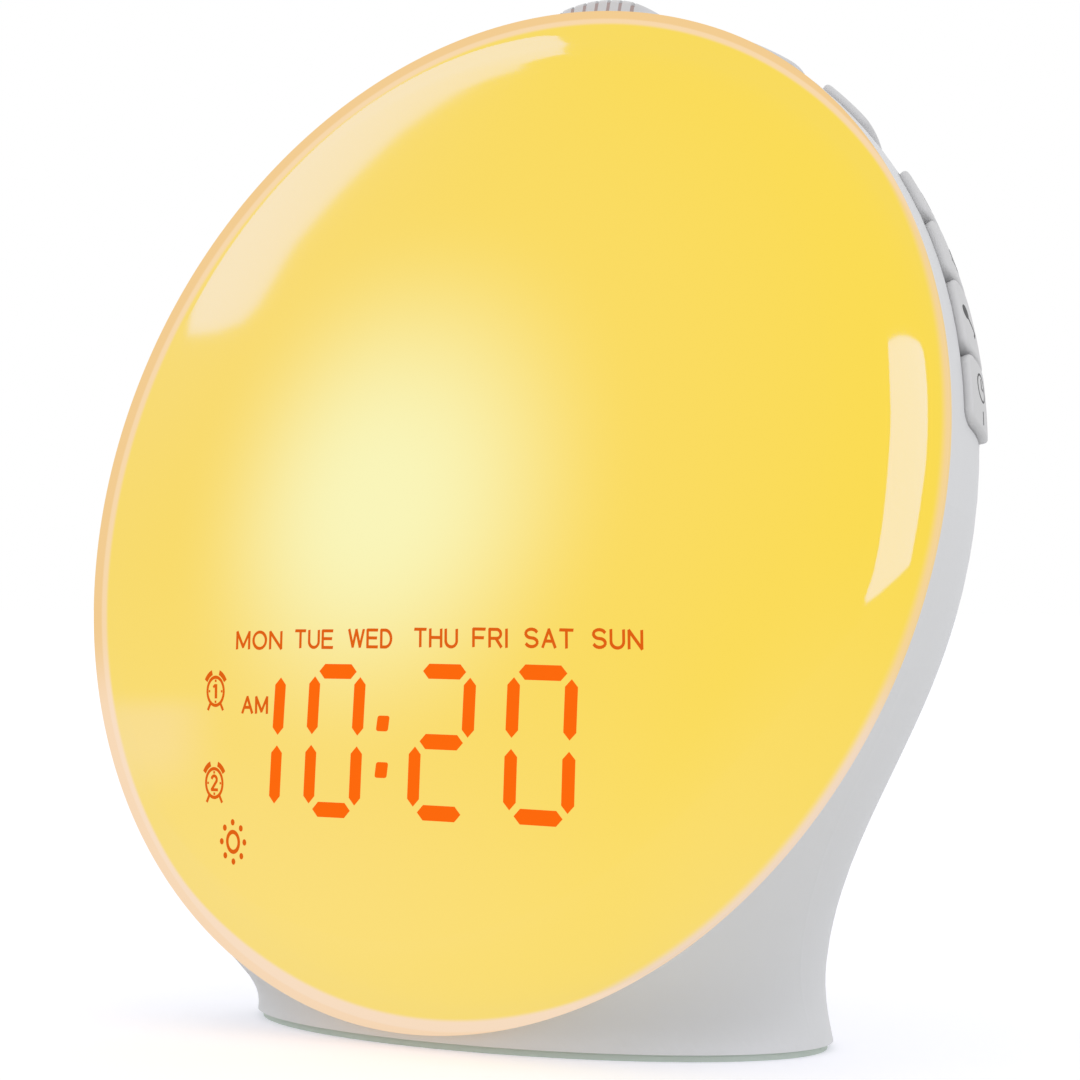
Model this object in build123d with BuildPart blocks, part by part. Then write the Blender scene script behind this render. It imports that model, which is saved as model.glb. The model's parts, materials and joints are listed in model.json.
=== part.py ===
from build123d import *
import os
from math import cos, degrees, radians, sin, sqrt

os.makedirs("parts", exist_ok=True)

# Sunrise alarm clock: a round glowing face that leans back on an oval foot.
# Millimetres and degrees. +Z is up, the face looks towards -Y, and the origin is the centre of
# the foot's resting face. Depths along the face's axis are counted from the seam between the
# glowing front and the housing: positive towards the viewer, negative into the housing.

# ---------------------------------------------------------------- driving dimensions
# Round body
FACE_R = 90.0            # radius at the seam
FACE_TILT = 14.7         # the face leans back
FACE_LIFT = 2.4          # lowest point of the seam above the table
FACE_FORWARD = 10.9      # middle of the face in front of the foot's middle
DISH_DEPTH = 51.5        # the housing's back behind the seam
EDGE_R = 16.7            # the large rounding round the glowing front
EDGE_BEHIND = 2.9        # how far behind the seam that rounding is centred
DOME_RISE = 18.0         # middle of the front ahead of the seam
HOUSING_WALL = 2.2
FRONT_WALL = 2.2

# Foot
PAD_T = 1.2
PAD_INSET = 1.0
FOOT_HALF_W = 57.9
FOOT_HALF_D = 32.0
MERGE_HEIGHT = 64.0      # where the foot has flowed into the dish
MERGE_RUN = 10.0         # how far above that its lines still follow the dish
# How far the foot stands out from the dish: height, half width, half depth, shift to the back
FOOT_FLARE = (
    (8.0, 23.6, 13.5, 22.6),
    (17.0, 9.9, 8.3, 15.3),
    (28.0, 2.5, 5.7, 7.9),
    (40.0, 0.2, 4.8, 1.7),
    (52.0, -0.1, 2.3, -0.2),
)
BASE_T = 2.4

# Clearances
FIT_GAP = 0.2            # between pieces that drop into each other
KEY_GAP = 0.35           # round a moving key
SCREW_GAP = 0.05         # between a screw and its hole
GLUE_GAP = 0.1           # round a light guide in its block

# Front mouth
MOUTH_RELIEF = 0.1       # the mouth is opened out by this much ahead of the ledge
LEDGE_T = 1.6
LEDGE_DEPTH = 2.2        # the ledge's front behind the seam
LEDGE_REACH = 4.3        # the ledge's inner edge inside the housing wall
LIP_T = 1.2
LIP_RISE = 4.0
TRAY_T = 1.8

# Light
LAMP_BOARD_R = 29.5
LAMP_BOARD_UP = 8.0
BOARD_T = 1.6
LED_SIZE = 5.0
LED_T = 1.6
LED_RINGS = ((11.0, 6), (22.5, 12))

# Display
DISPLAY_W = 101.0
DISPLAY_H = 44.0
DISPLAY_MID = (1.5, -44.5)
DISPLAY_REACH = 74.0     # the block's corners stay this near the face's middle
DISPLAY_FRONT = 10.8     # front of the block ahead of the seam
FILM_T = 0.3
DIGIT_MIDDLES = (-30.6, -12.2, 11.1, 31.0)
DIGIT_LEVEL = -44.2
DIGIT_H = 25.6
DIGIT_W = 13.4
STROKE = 2.5
STROKE_BREAK = 0.7       # gap between neighbouring strokes
COLON_AT = -1.4
COLON_APART = 7.6

WEEKDAY_FROM = -32.9
WEEKDAY_PITCH = 12.7
WEEKDAY_LEVEL = -26.9
LEGEND_W = 10.6
LEGEND_H = 4.6
CHIP_LED = 1.6
SIGN_PLACES = ((-31.6, -38.6), (-42.2, -36.3), (-40.2, -52.1), (-32.8, -61.9))

# Keys on the shoulder: groups of (first angle, last angle) from the horizontal, on each side
KEY_GROUPS = (
    ((9.3, 16.9), (17.3, 25.5), (25.9, 33.0), (33.4, 40.1)),
    ((48.0, 55.7),),
    ((59.8, 70.0),),
)
KEY_FRONT = 4.7          # nearest edge behind the seam
KEY_WIDTH = 12.4
KEY_PROUD = 1.4
TOP_KEY_PROUD = 1.1      # the highest key lies lower
KEY_CORNER = 2.2
KEY_ROUND = 0.7
KEY_TRAVEL = 0.6
KEY_FLANGE_T = 1.0
KEY_FLANGE_REACH = 1.2
KEY_STEM_R = 1.4
KEY_STEM_L = 2.05        # flange and stem together
PRESS_GAP = 0.15         # left between a pressed key and its switch

# Switches behind the keys
CARRIER_T = 2.5
CARRIER_FROM = 5.0
CARRIER_TO = 72.0
CARRIER_BACK = 18.0
FLEX_T = 0.8
SWITCH_SIZE = 6.0
SWITCH_T = 3.2
PLUNGER_R = 1.7
PLUNGER_T = 0.8

# Snooze button
SNOOZE_W = 23.4
SNOOZE_D = 11.2
SNOOZE_CORNER = 5.0
SNOOZE_PROUD = 4.9       # crown above the rim
SNOOZE_ARCH_R = 27.0
SNOOZE_TRAVEL = 0.8
SNOOZE_RIB = 1.9
SNOOZE_PITCH = 2.66
SNOOZE_RIBS = 8
RIB_DEPTH = 0.8
SNOOZE_STEM_L = 2.9      # flange and stem together
SHELF_T = 2.0
SHELF_W = 30.0

# Sound
SPEAKER_R = 26.5
SPEAKER_SEAT = 42.0      # the seat's face behind the seam
SPEAKER_EAR_AT = 28.6
SPEAKER_EAR_R = 3.2
MAGNET_R = 16.0
MAGNET_T = 9.0
BASKET_T = 9.0
BASKET_RIM = 2.5
FLANGE_T = 1.2
GASKET_T = 0.6
GRILLE_HOLE_R = 1.1
GRILLE_PITCH = 3.9
GRILLE_RINGS = 5

# Main board
MAIN_W = 72.0
MAIN_H = 50.0
MAIN_UP = 4.0
MAIN_DEPTH = 14.0
MAIN_HOLE_INSET = 4.0

CHIP_SIZE = 12.0
CHIP_T = 1.2
CAP_R = 2.5
CAP_T = 5.0
CAP_APART = 56.0

# Screws: radius of shank and head
SMALL_SHANK_R = 1.0
SMALL_HEAD_R = 2.2
SMALL_HEAD_T = 1.4
CASE_SHANK_R = 1.45
CASE_HEAD_R = 2.8
CASE_HEAD_T = 1.9
CASE_SCREW_AT = ((52.0, 34.0), (-52.0, 34.0), (52.0, -26.0), (-52.0, -26.0))
CASE_POST_R = 4.4
CASE_SEAT_DEPTH = 15.0
CASE_POST_DEPTH = 12.2
BASE_SCREW_AT = ((45.0, -6.0), (-45.0, -6.0), (45.0, 11.0), (-45.0, 11.0))
BASE_BOSS_R = 3.4
BASE_BOSS_TOP = 14.0

# Back of the foot
JACK_X = 18.0
JACK_Z = 18.0
JACK_W = 9.0
JACK_L = 12.0
JACK_H = 10.0
JACK_INSET = 4.9         # the jack's body inside the foot's back
JACK_NOSE_R = 4.0
JACK_NOSE_L = 4.7
JACK_BORE_R = 2.75
JACK_BORE_L = 10.5
JACK_PIN_R = 1.0
GROMMET_X = 2.0
GROMMET_INSET = 1.68     # the rim's seat inside the foot's back
GROMMET_R = 2.6
GROMMET_RIM_R = 3.9
GROMMET_RIM_T = 1.2
GROMMET_HOLE_R = 0.9
GROMMET_BARB_R = 3.3
GROMMET_BARB_T = 1.0
GROMMET_WALL = 1.9
DOOR_X = -19.0
DOOR_Z = 22.0
DOOR_W = 24.0
DOOR_H = 27.0
DOOR_CORNER = 2.5
DOOR_SCREW_UP = 9.8
HOLDER_W = 23.0
HOLDER_INSET = 7.8       # the holder inside the foot's back
HOLDER_T = 7.0
CELL_R = 10.0
CELL_T = 3.2
CELL_DOWN = 3.4
CONTACT_T = 0.4
DOOR_POST_L = 4.6
DOOR_LEAF = 1.9          # what is left of the door under the screw's head

# Wires
WIRE_R = 0.8
RIBBON_W = 12.0
RIBBON_T = 0.4

# ---------------------------------------------------------------- the shared frame
TILT_SIN = sin(radians(FACE_TILT))
TILT_COS = cos(radians(FACE_TILT))
CENTRE = Vector(0, -FACE_FORWARD, FACE_LIFT + FACE_R * TILT_COS)
face = Plane(origin=CENTRE, x_dir=(1, 0, 0), z_dir=(0, -TILT_COS, TILT_SIN))
face_axis = Axis(CENTRE, face.z_dir)


def spoke(angle):
    """Plane through the face's axis: x runs outwards at the angle and y towards the viewer."""
    out = face.x_dir * cos(radians(angle)) + face.y_dir * sin(radians(angle))
    return Plane(origin=CENTRE, x_dir=out, z_dir=out.cross(face.z_dir))


def outward(angle, distance, depth):
    """Plane that looks outwards from the face's axis at an angle, with x along the rim."""
    out = face.x_dir * cos(radians(angle)) + face.y_dir * sin(radians(angle))
    place = CENTRE + out * distance - face.z_dir * depth
    return Plane(origin=place, x_dir=out.cross(face.z_dir), z_dir=out)


def level_oval(height, inset=0.0):
    """Half width, half depth and middle of the level cut through the dish."""
    across = FACE_R - inset
    deep = DISH_DEPTH - inset
    rise = height - CENTRE.Z
    zz = (across * TILT_COS) ** 2 + (deep * TILT_SIN) ** 2
    yz = (across**2 - deep**2) * TILT_SIN * TILT_COS
    yy = (across * TILT_SIN) ** 2 + (deep * TILT_COS) ** 2
    share = sqrt(max(0.0, 1 - rise**2 / zz))
    return across * share, sqrt(yy - yz**2 / zz) * share, CENTRE.Y + rise * yz / zz


def dish_r_at(depth, inset=0.0):
    """Radius of the dish at a depth behind the seam."""
    return (FACE_R - inset) * sqrt(1 - (depth / (DISH_DEPTH - inset)) ** 2)


def foot_back(across):
    """How far back the foot's outside reaches at its sockets' height, at a distance from its middle."""
    height, wider, deeper, back = FOOT_FLARE[1]
    half_w, half_d, middle = level_oval(height)
    share = sqrt(1 - (across / (half_w + wider)) ** 2)
    return middle + back + (half_d + deeper) * share


def body_solid(inset):
    """The dish and foot as one closed solid, shrunk by inset."""
    with BuildPart() as foot:
        with BuildSketch(Plane.XY.offset(PAD_T)):
            Ellipse(FOOT_HALF_W - inset, FOOT_HALF_D - inset)
        for height, wider, deeper, back in FOOT_FLARE:
            half_w, half_d, middle = level_oval(height, inset)
            with BuildSketch(Plane((0, middle + back, height))):
                Ellipse(half_w + wider, half_d + deeper)
        for height in (MERGE_HEIGHT, MERGE_HEIGHT + MERGE_RUN):
            half_w, half_d, middle = level_oval(height, inset)
            with BuildSketch(Plane((0, middle, height))):
                Ellipse(half_w, half_d)
        loft()
        split(bisect_by=Plane.XY.offset(MERGE_HEIGHT), keep=Keep.BOTTOM)
        with BuildSketch(face):
            Rectangle(4 * FACE_R, 4 * FACE_R)
        extrude(amount=2 * FACE_R, mode=Mode.SUBTRACT)
    with BuildPart() as body:
        with BuildSketch(spoke(0)):
            Ellipse(FACE_R - inset, DISH_DEPTH - inset)
            Rectangle(FACE_R, DISH_DEPTH, align=(Align.MIN, Align.MAX), mode=Mode.INTERSECT)
        revolve(axis=face_axis)
        split(bisect_by=Plane.XY.offset(MERGE_HEIGHT), keep=Keep.TOP)
        add(foot.part)
    return body.part


# ---------------------------------------------------------------- shared building steps
def disc(depth_from, depth_to, radius, hole=0.0, at=(0, 0), mode=Mode.ADD):
    """A round plate or ring square to the face's axis, between two depths."""
    with BuildSketch(face.offset(depth_from)) as flat:
        with Locations(at):
            Circle(radius)
            if hole:
                Circle(hole, mode=Mode.SUBTRACT)
    extrude(flat.sketch, amount=depth_to - depth_from, mode=mode)


def block(depth_from, depth_to, width, height, at=(0, 0), mode=Mode.ADD):
    """A rectangular block square to the face's axis, between two depths."""
    with BuildSketch(face.offset(depth_from)) as flat:
        with Locations(at):
            Rectangle(width, height)
    extrude(flat.sketch, amount=depth_to - depth_from, mode=mode)


def screw(seat, shank_r, shank_l, head_r, head_t):
    """A screw whose head lies on the seat plane and whose shank runs back through it."""
    with BuildSketch(seat) as head:
        Circle(head_r)
    extrude(head.sketch, amount=head_t)
    with BuildSketch(seat) as shank:
        Circle(shank_r)
    extrude(shank.sketch, amount=-shank_l)


def save(piece, name):
    piece.part.label = name
    export_step(piece.part, f"parts/{name}.step")


# ---------------------------------------------------------------- places worked out once
LEDGE_FRONT = -LEDGE_DEPTH
LEDGE_BACK = LEDGE_FRONT - LEDGE_T
MOUTH_R = FACE_R - HOUSING_WALL + MOUTH_RELIEF
TRAY_BACK = LEDGE_FRONT
TRAY_FRONT = TRAY_BACK + TRAY_T
LIP_R = MOUTH_R - FIT_GAP
TRAY_R = LIP_R - LIP_T - FIT_GAP
KEYS = [span for group in KEY_GROUPS for span in group]
KEY_BACK = KEY_FRONT + KEY_WIDTH
KEY_MID = KEY_FRONT + KEY_WIDTH / 2
FLANGE_FRONT = KEY_FRONT - KEY_GAP - KEY_FLANGE_REACH
FLANGE_BACK = KEY_BACK + KEY_GAP + KEY_FLANGE_REACH
FLANGE_R = dish_r_at(FLANGE_BACK, HOUSING_WALL) - KEY_GAP
SWITCH_TOP = FLANGE_R - KEY_STEM_L - KEY_TRAVEL - PRESS_GAP
SWITCH_FOOT = SWITCH_TOP - SWITCH_T - PLUNGER_T
CARRIER_R = SWITCH_FOOT - FLEX_T
SNOOZE_TOP = FACE_R + SNOOZE_PROUD
SNOOZE_MID = KEY_FRONT + SNOOZE_D / 2
SNOOZE_FLANGE_W = SNOOZE_W + 2 * KEY_FLANGE_REACH
SNOOZE_FLANGE_D = SNOOZE_D + 2 * KEY_FLANGE_REACH
SNOOZE_WALL_R = dish_r_at(SNOOZE_MID + SNOOZE_FLANGE_D / 2, HOUSING_WALL)
SNOOZE_FLANGE_TOP = sqrt(SNOOZE_WALL_R**2 - SNOOZE_FLANGE_W**2 / 4) - KEY_GAP
SNOOZE_SWITCH_TOP = SNOOZE_FLANGE_TOP - SNOOZE_STEM_L - SNOOZE_TRAVEL - PRESS_GAP
SHELF_UP = SNOOZE_SWITCH_TOP - PLUNGER_T - SWITCH_T - BOARD_T
MAIN_FRONT = -MAIN_DEPTH
MAIN_BACK = MAIN_FRONT - BOARD_T
MAIN_HOLES = (MAIN_W - 2 * MAIN_HOLE_INSET, MAIN_H - 2 * MAIN_HOLE_INSET)
BASE_TOP = PAD_T + BASE_T
JACK_BACK = foot_back(JACK_X) - JACK_INSET
GROMMET_SEAT = foot_back(GROMMET_X) - GROMMET_INSET
HOLDER_BACK = foot_back(DOOR_X) - HOLDER_INSET
DOOR_SEAT = HOLDER_BACK + DOOR_POST_L + DOOR_LEAF
DISPLAY_BACK = TRAY_FRONT + BOARD_T
EARS = [
    (SPEAKER_EAR_AT * cos(radians(45 + 90 * turn)), SPEAKER_EAR_AT * sin(radians(45 + 90 * turn)))
    for turn in range(4)
]


outer = body_solid(0.0)
inner = body_solid(HOUSING_WALL)


# ---------------------------------------------------------------- glowing front
def dome_half(inset):
    """Half outline of the front: flat dome, large rounding, open at the seam."""
    edge_r = EDGE_R - inset
    edge_at = FACE_R - sqrt(EDGE_R**2 - EDGE_BEHIND**2)
    rise = DOME_RISE + EDGE_BEHIND
    dome_r = (edge_at**2 + rise**2 - EDGE_R**2) / (2 * (rise - EDGE_R)) - inset
    dome_at = DOME_RISE - inset - dome_r
    reach = dome_r / (dome_r - edge_r)
    meet = (edge_at * reach, dome_at + (-EDGE_BEHIND - dome_at) * reach)
    top = (0, DOME_RISE - inset)
    rim = (edge_at + sqrt(edge_r**2 - EDGE_BEHIND**2), 0)
    edge_mid = (edge_at + edge_r * cos(radians(40)), edge_r * sin(radians(40)) - EDGE_BEHIND)
    half_turn = meet[0] / 2
    dome_mid = (half_turn, dome_at + sqrt(dome_r**2 - half_turn**2))
    with BuildSketch(spoke(0)) as half:
        with BuildLine():
            ThreePointArc(top, dome_mid, meet)
            ThreePointArc(meet, edge_mid, rim)
            Polyline(rim, (0, 0), top)
        make_face()
    return half.sketch


with BuildPart() as diffuser:
    revolve(dome_half(0.0), axis=face_axis)
    revolve(dome_half(FRONT_WALL), axis=face_axis, mode=Mode.SUBTRACT)
    disc(LEDGE_FRONT + FIT_GAP, LIP_RISE, LIP_R, LIP_R - LIP_T)
save(diffuser, "diffuser")


# ---------------------------------------------------------------- housing
def slot_in_shoulder(first, last):
    """Opening for a run of keys: a ring sector through the wall."""
    spare = degrees(KEY_GAP / FACE_R)
    with BuildSketch(spoke(first - spare)) as cut:
        with Locations((FACE_R, -KEY_MID)):
            Rectangle(4 * HOUSING_WALL + KEY_WIDTH, KEY_WIDTH + 2 * KEY_GAP)
    with BuildPart() as opening:
        revolve(cut.sketch, axis=face_axis, revolution_arc=last - first + 2 * spare)
        corners = opening.edges().filter_by(GeomType.LINE)
        corners = corners.filter_by(lambda edge: abs(edge.tangent_at(0.5).dot(face.z_dir)) < 0.5)
        fillet(corners, KEY_CORNER + KEY_GAP)
    return opening.part


def rounded_bar(width, depth, corner, bottom, top):
    """Upright rounded bar at the snooze button's place, between two heights above the middle."""
    with BuildSketch(outward(90, bottom, SNOOZE_MID)) as flat:
        RectangleRounded(width, depth, corner)
    return extrude(flat.sketch, amount=top - bottom, mode=Mode.PRIVATE)


# The space inside, with the ledge, screw posts and speaker seat standing in it
with BuildPart() as hollow:
    add(inner)
    disc(LEDGE_BACK, LEDGE_FRONT, 2 * FACE_R, MOUTH_R - LEDGE_REACH, mode=Mode.SUBTRACT)
    for place in CASE_SCREW_AT:
        disc(-CASE_POST_DEPTH, -2 * DISH_DEPTH, CASE_POST_R, at=place, mode=Mode.SUBTRACT)
    disc(-SPEAKER_SEAT, -2 * DISH_DEPTH, SPEAKER_R + GASKET_T, SPEAKER_R - 3, mode=Mode.SUBTRACT)
    for ear in EARS:
        disc(-SPEAKER_SEAT, -2 * DISH_DEPTH, SPEAKER_EAR_R, at=ear, mode=Mode.SUBTRACT)
    for side_x, side_y in BASE_SCREW_AT:
        with BuildSketch(Plane.XY.offset(BASE_TOP)) as boss:
            with Locations((side_x, side_y)):
                Circle(BASE_BOSS_R)
            with Locations((2 * side_x, side_y)):
                Rectangle(2 * abs(side_x), BASE_BOSS_R)
        extrude(boss.sketch, amount=BASE_BOSS_TOP - BASE_TOP, mode=Mode.SUBTRACT)

with BuildPart() as rear_housing:
    add(outer)
    add(hollow.part, mode=Mode.SUBTRACT)
    disc(LEDGE_FRONT, 0, MOUTH_R, mode=Mode.SUBTRACT)
    with BuildSketch(Plane.XY.offset(PAD_T)) as floor_mouth:
        Ellipse(FOOT_HALF_W - HOUSING_WALL, FOOT_HALF_D - HOUSING_WALL)
    extrude(floor_mouth.sketch, amount=BASE_T + FIT_GAP, mode=Mode.SUBTRACT)
    for group in KEY_GROUPS:
        slot = slot_in_shoulder(group[0][0], group[-1][1])
        add(slot, mode=Mode.SUBTRACT)
        add(mirror(slot, about=Plane.YZ, mode=Mode.PRIVATE), mode=Mode.SUBTRACT)
    add(
        rounded_bar(
            SNOOZE_W + 2 * KEY_GAP, SNOOZE_D + 2 * KEY_GAP, SNOOZE_CORNER, SHELF_UP, SNOOZE_TOP
        ),
        mode=Mode.SUBTRACT,
    )
    for place in CASE_SCREW_AT:
        disc(0, -DISH_DEPTH, CASE_SHANK_R + SCREW_GAP, at=place, mode=Mode.SUBTRACT)
        disc(-CASE_SEAT_DEPTH, -DISH_DEPTH, CASE_HEAD_R + FIT_GAP, at=place, mode=Mode.SUBTRACT)
    for ear in EARS:
        disc(-SPEAKER_SEAT - 5, -SPEAKER_SEAT, SMALL_SHANK_R + SCREW_GAP, at=ear, mode=Mode.SUBTRACT)
    with BuildSketch(face.offset(-SPEAKER_SEAT - GASKET_T)) as grille:
        Circle(GRILLE_HOLE_R)
        for ring in range(1, GRILLE_RINGS + 1):
            with PolarLocations(ring * GRILLE_PITCH, 6 * ring):
                Circle(GRILLE_HOLE_R)
    extrude(grille.sketch, amount=-DISH_DEPTH, mode=Mode.SUBTRACT)
    with BuildSketch(Plane.XY.offset(PAD_T)) as base_holes:
        with Locations(*BASE_SCREW_AT):
            Circle(SMALL_SHANK_R + SCREW_GAP)
    extrude(base_holes.sketch, amount=BASE_BOSS_TOP - PAD_T - 2, mode=Mode.SUBTRACT)
    back_wall = Plane(origin=(0, JACK_BACK, 0), x_dir=(-1, 0, 0), z_dir=(0, 1, 0))
    with BuildSketch(back_wall) as jack_hole:
        with Locations((-JACK_X, JACK_Z)):
            Circle(JACK_NOSE_R + FIT_GAP)
        with Locations((-GROMMET_X, JACK_Z)):
            Circle(GROMMET_R + SCREW_GAP)
    extrude(jack_hole.sketch, amount=FOOT_HALF_D, mode=Mode.SUBTRACT)
    with BuildSketch(back_wall.offset(GROMMET_SEAT - JACK_BACK)) as grommet_seat:
        with Locations((-GROMMET_X, JACK_Z)):
            Circle(GROMMET_RIM_R + FIT_GAP)
    extrude(grommet_seat.sketch, amount=FOOT_HALF_D, mode=Mode.SUBTRACT)
    with BuildSketch(back_wall.offset(HOLDER_BACK - JACK_BACK)) as door_hole:
        with Locations((-DOOR_X, DOOR_Z)):
            RectangleRounded(DOOR_W + 2 * FIT_GAP, DOOR_H + 2 * FIT_GAP, DOOR_CORNER)
    extrude(door_hole.sketch, amount=FOOT_HALF_D, mode=Mode.SUBTRACT)
save(rear_housing, "rear_housing")


# ---------------------------------------------------------------- light tray
RIBBON_AT = DISPLAY_MID[1] + DISPLAY_H / 2 - 2 * BOARD_T
RIBBON_END = MAIN_UP - MAIN_H / 2 + BOARD_T

with BuildPart() as light_tray:
    disc(TRAY_BACK, TRAY_FRONT, TRAY_R)
    for place in CASE_SCREW_AT:
        disc(FIT_GAP - CASE_POST_DEPTH, TRAY_BACK, CASE_POST_R, at=place)
    for place in GridLocations(*MAIN_HOLES, 2, 2):
        at = (place.position.X, place.position.Y + MAIN_UP)
        disc(MAIN_FRONT, TRAY_BACK, 2 * SMALL_SHANK_R + 1, at=at)
        disc(MAIN_FRONT, TRAY_BACK, SMALL_SHANK_R + SCREW_GAP, at=at, mode=Mode.SUBTRACT)
    for place in CASE_SCREW_AT:
        disc(-CASE_POST_DEPTH, TRAY_BACK, CASE_SHANK_R + SCREW_GAP, at=place, mode=Mode.SUBTRACT)
    block(-KEY_BACK, TRAY_BACK, SHELF_W, SHELF_T, (0, SHELF_UP - SHELF_T / 2))
    block(TRAY_BACK, TRAY_FRONT, RIBBON_W + 2, 3 * BOARD_T, (0, RIBBON_AT), Mode.SUBTRACT)
    block(TRAY_BACK, TRAY_FRONT, 2 * BOARD_T, BOARD_T, (0, MAIN_UP), Mode.SUBTRACT)
save(light_tray, "light_tray")


# ---------------------------------------------------------------- face lamp
with BuildPart() as lamp_board:
    disc(TRAY_FRONT, DISPLAY_BACK, LAMP_BOARD_R, at=(0, LAMP_BOARD_UP))
save(lamp_board, "lamp_board")

with BuildPart() as lamp_leds:
    with BuildSketch(face.offset(DISPLAY_BACK)) as lamps:
        with Locations((0, LAMP_BOARD_UP)):
            for ring_r, count in LED_RINGS:
                with PolarLocations(ring_r, count):
                    Rectangle(LED_SIZE, LED_SIZE)
    extrude(lamps.sketch, amount=LED_T)
save(lamp_leds, "lamp_leds")


# ---------------------------------------------------------------- display
def display_outline(shrink=0.0):
    """Flat outline of the display, its lower corners kept clear of the round front."""
    with BuildSketch() as outline:
        with Locations(DISPLAY_MID):
            Rectangle(DISPLAY_W - 2 * shrink, DISPLAY_H - 2 * shrink)
        Circle(DISPLAY_REACH - shrink, mode=Mode.INTERSECT)
    return outline.sketch


def stroke(length):
    """One pointed stroke of a digit, lying along x."""
    with BuildSketch() as shape:
        half = length / 2
        flat = half - STROKE / 2
        with BuildLine():
            Polyline(
                (-half, 0), (-flat, STROKE / 2), (flat, STROKE / 2),
                (half, 0), (flat, -STROKE / 2), (-flat, -STROKE / 2), close=True,
            )
        make_face()
    return shape.sketch


STROKE_UP = (DIGIT_H - STROKE) / 2
STROKE_SIDE = (DIGIT_W - STROKE) / 2
LEVEL_STROKE = stroke(2 * STROKE_SIDE - STROKE_BREAK)
UPRIGHT_STROKE = stroke(STROKE_UP - STROKE_BREAK)
STROKE_PLACES = [
    Location((middle + side * STROKE_SIDE, DIGIT_LEVEL + level * STROKE_UP / 2), 90)
    for middle in DIGIT_MIDDLES for side in (-1, 1) for level in (-1, 1)
]
LEVEL_PLACES = [
    Location((middle, DIGIT_LEVEL + level * STROKE_UP))
    for middle in DIGIT_MIDDLES for level in (-1, 0, 1)
]
LEGEND_PLACES = [Location((WEEKDAY_FROM + day * WEEKDAY_PITCH, WEEKDAY_LEVEL)) for day in range(7)]
LEGEND_PLACES += [Location(place) for place in SIGN_PLACES]


def digit_sketch():
    """All digit strokes and the two colon dots, flat."""
    with BuildSketch() as digits:
        with Locations(*STROKE_PLACES):
            add(UPRIGHT_STROKE)
        with Locations(*LEVEL_PLACES):
            add(LEVEL_STROKE)
        for side in (-1, 1):
            with Locations((COLON_AT, DIGIT_LEVEL + side * COLON_APART / 2)):
                Rectangle(STROKE, STROKE)
    return digits.sketch


DIGITS = digit_sketch()

with BuildPart() as display_board:
    with BuildSketch(face.offset(TRAY_FRONT)):
        add(display_outline())
    extrude(amount=BOARD_T)
save(display_board, "display_board")

with BuildPart() as display_leds:
    with BuildSketch(face.offset(DISPLAY_BACK)) as chips:
        with Locations(*STROKE_PLACES, *LEVEL_PLACES, *LEGEND_PLACES):
            Rectangle(CHIP_LED, CHIP_LED)
    extrude(chips.sketch, amount=CHIP_LED / 2)
save(display_leds, "display_leds")

with BuildPart() as display_block:
    with BuildSketch(face.offset(DISPLAY_BACK)):
        add(display_outline())
        add(DIGITS, mode=Mode.SUBTRACT)
        with Locations(*LEGEND_PLACES):
            RectangleRounded(LEGEND_W, LEGEND_H, 1, mode=Mode.SUBTRACT)
    extrude(amount=DISPLAY_FRONT - DISPLAY_BACK)
save(display_block, "display_block")

with BuildPart() as digit_guides:
    with BuildSketch(face.offset(DISPLAY_BACK + CHIP_LED)) as guides:
        offset(DIGITS, amount=-GLUE_GAP)
    extrude(guides.sketch, amount=DISPLAY_FRONT - DISPLAY_BACK - CHIP_LED)
save(digit_guides, "digit_guides")

with BuildPart() as legend_film:
    with BuildSketch(face.offset(DISPLAY_FRONT)):
        add(display_outline(FIT_GAP))
    extrude(amount=FILM_T)
save(legend_film, "legend_film")


# ---------------------------------------------------------------- main board
with BuildPart() as main_board:
    block(MAIN_BACK, MAIN_FRONT, MAIN_W, MAIN_H, (0, MAIN_UP))
    with BuildSketch(face.offset(MAIN_BACK)) as main_holes:
        with Locations((0, MAIN_UP)):
            with GridLocations(*MAIN_HOLES, 2, 2):
                Circle(SMALL_SHANK_R + SCREW_GAP)
    extrude(main_holes.sketch, amount=BOARD_T, mode=Mode.SUBTRACT)
save(main_board, "main_board")

with BuildPart() as main_chips:
    block(MAIN_FRONT, MAIN_FRONT + CHIP_T, CHIP_SIZE, CHIP_SIZE, (0, MAIN_UP + 6))
    block(MAIN_FRONT, MAIN_FRONT + CHIP_T, CHIP_SIZE, CHIP_SIZE / 2, (-CHIP_SIZE * 1.6, MAIN_UP))
    block(MAIN_FRONT, MAIN_FRONT + 2 * CHIP_T, RIBBON_W + 2, CHIP_SIZE / 2, (0, RIBBON_END))
save(main_chips, "main_chips")

with BuildPart() as capacitors:
    for side in (-1, 1):
        disc(MAIN_BACK - CAP_T, MAIN_BACK, CAP_R, at=(side * CAP_APART / 2, MAIN_UP))
        disc(MAIN_BACK - CAP_T, MAIN_BACK, CAP_R, at=(side * CAP_APART / 2, MAIN_UP - 3 * CAP_R))
save(capacitors, "capacitors")

with BuildPart() as display_ribbon:
    with BuildSketch(Plane(origin=CENTRE, x_dir=face.y_dir, z_dir=face.y_dir.cross(face.z_dir))) as strip:
        with BuildLine() as bend:
            Polyline(
                (RIBBON_AT, TRAY_FRONT), (RIBBON_AT, TRAY_BACK - 2 * CHIP_T),
                (RIBBON_END, MAIN_FRONT + 3 * CHIP_T), (RIBBON_END, MAIN_FRONT + 2 * CHIP_T),
            )
        trace(bend.line, line_width=RIBBON_T)
    extrude(strip.sketch, amount=RIBBON_W / 2, both=True)
save(display_ribbon, "display_ribbon")


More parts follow.
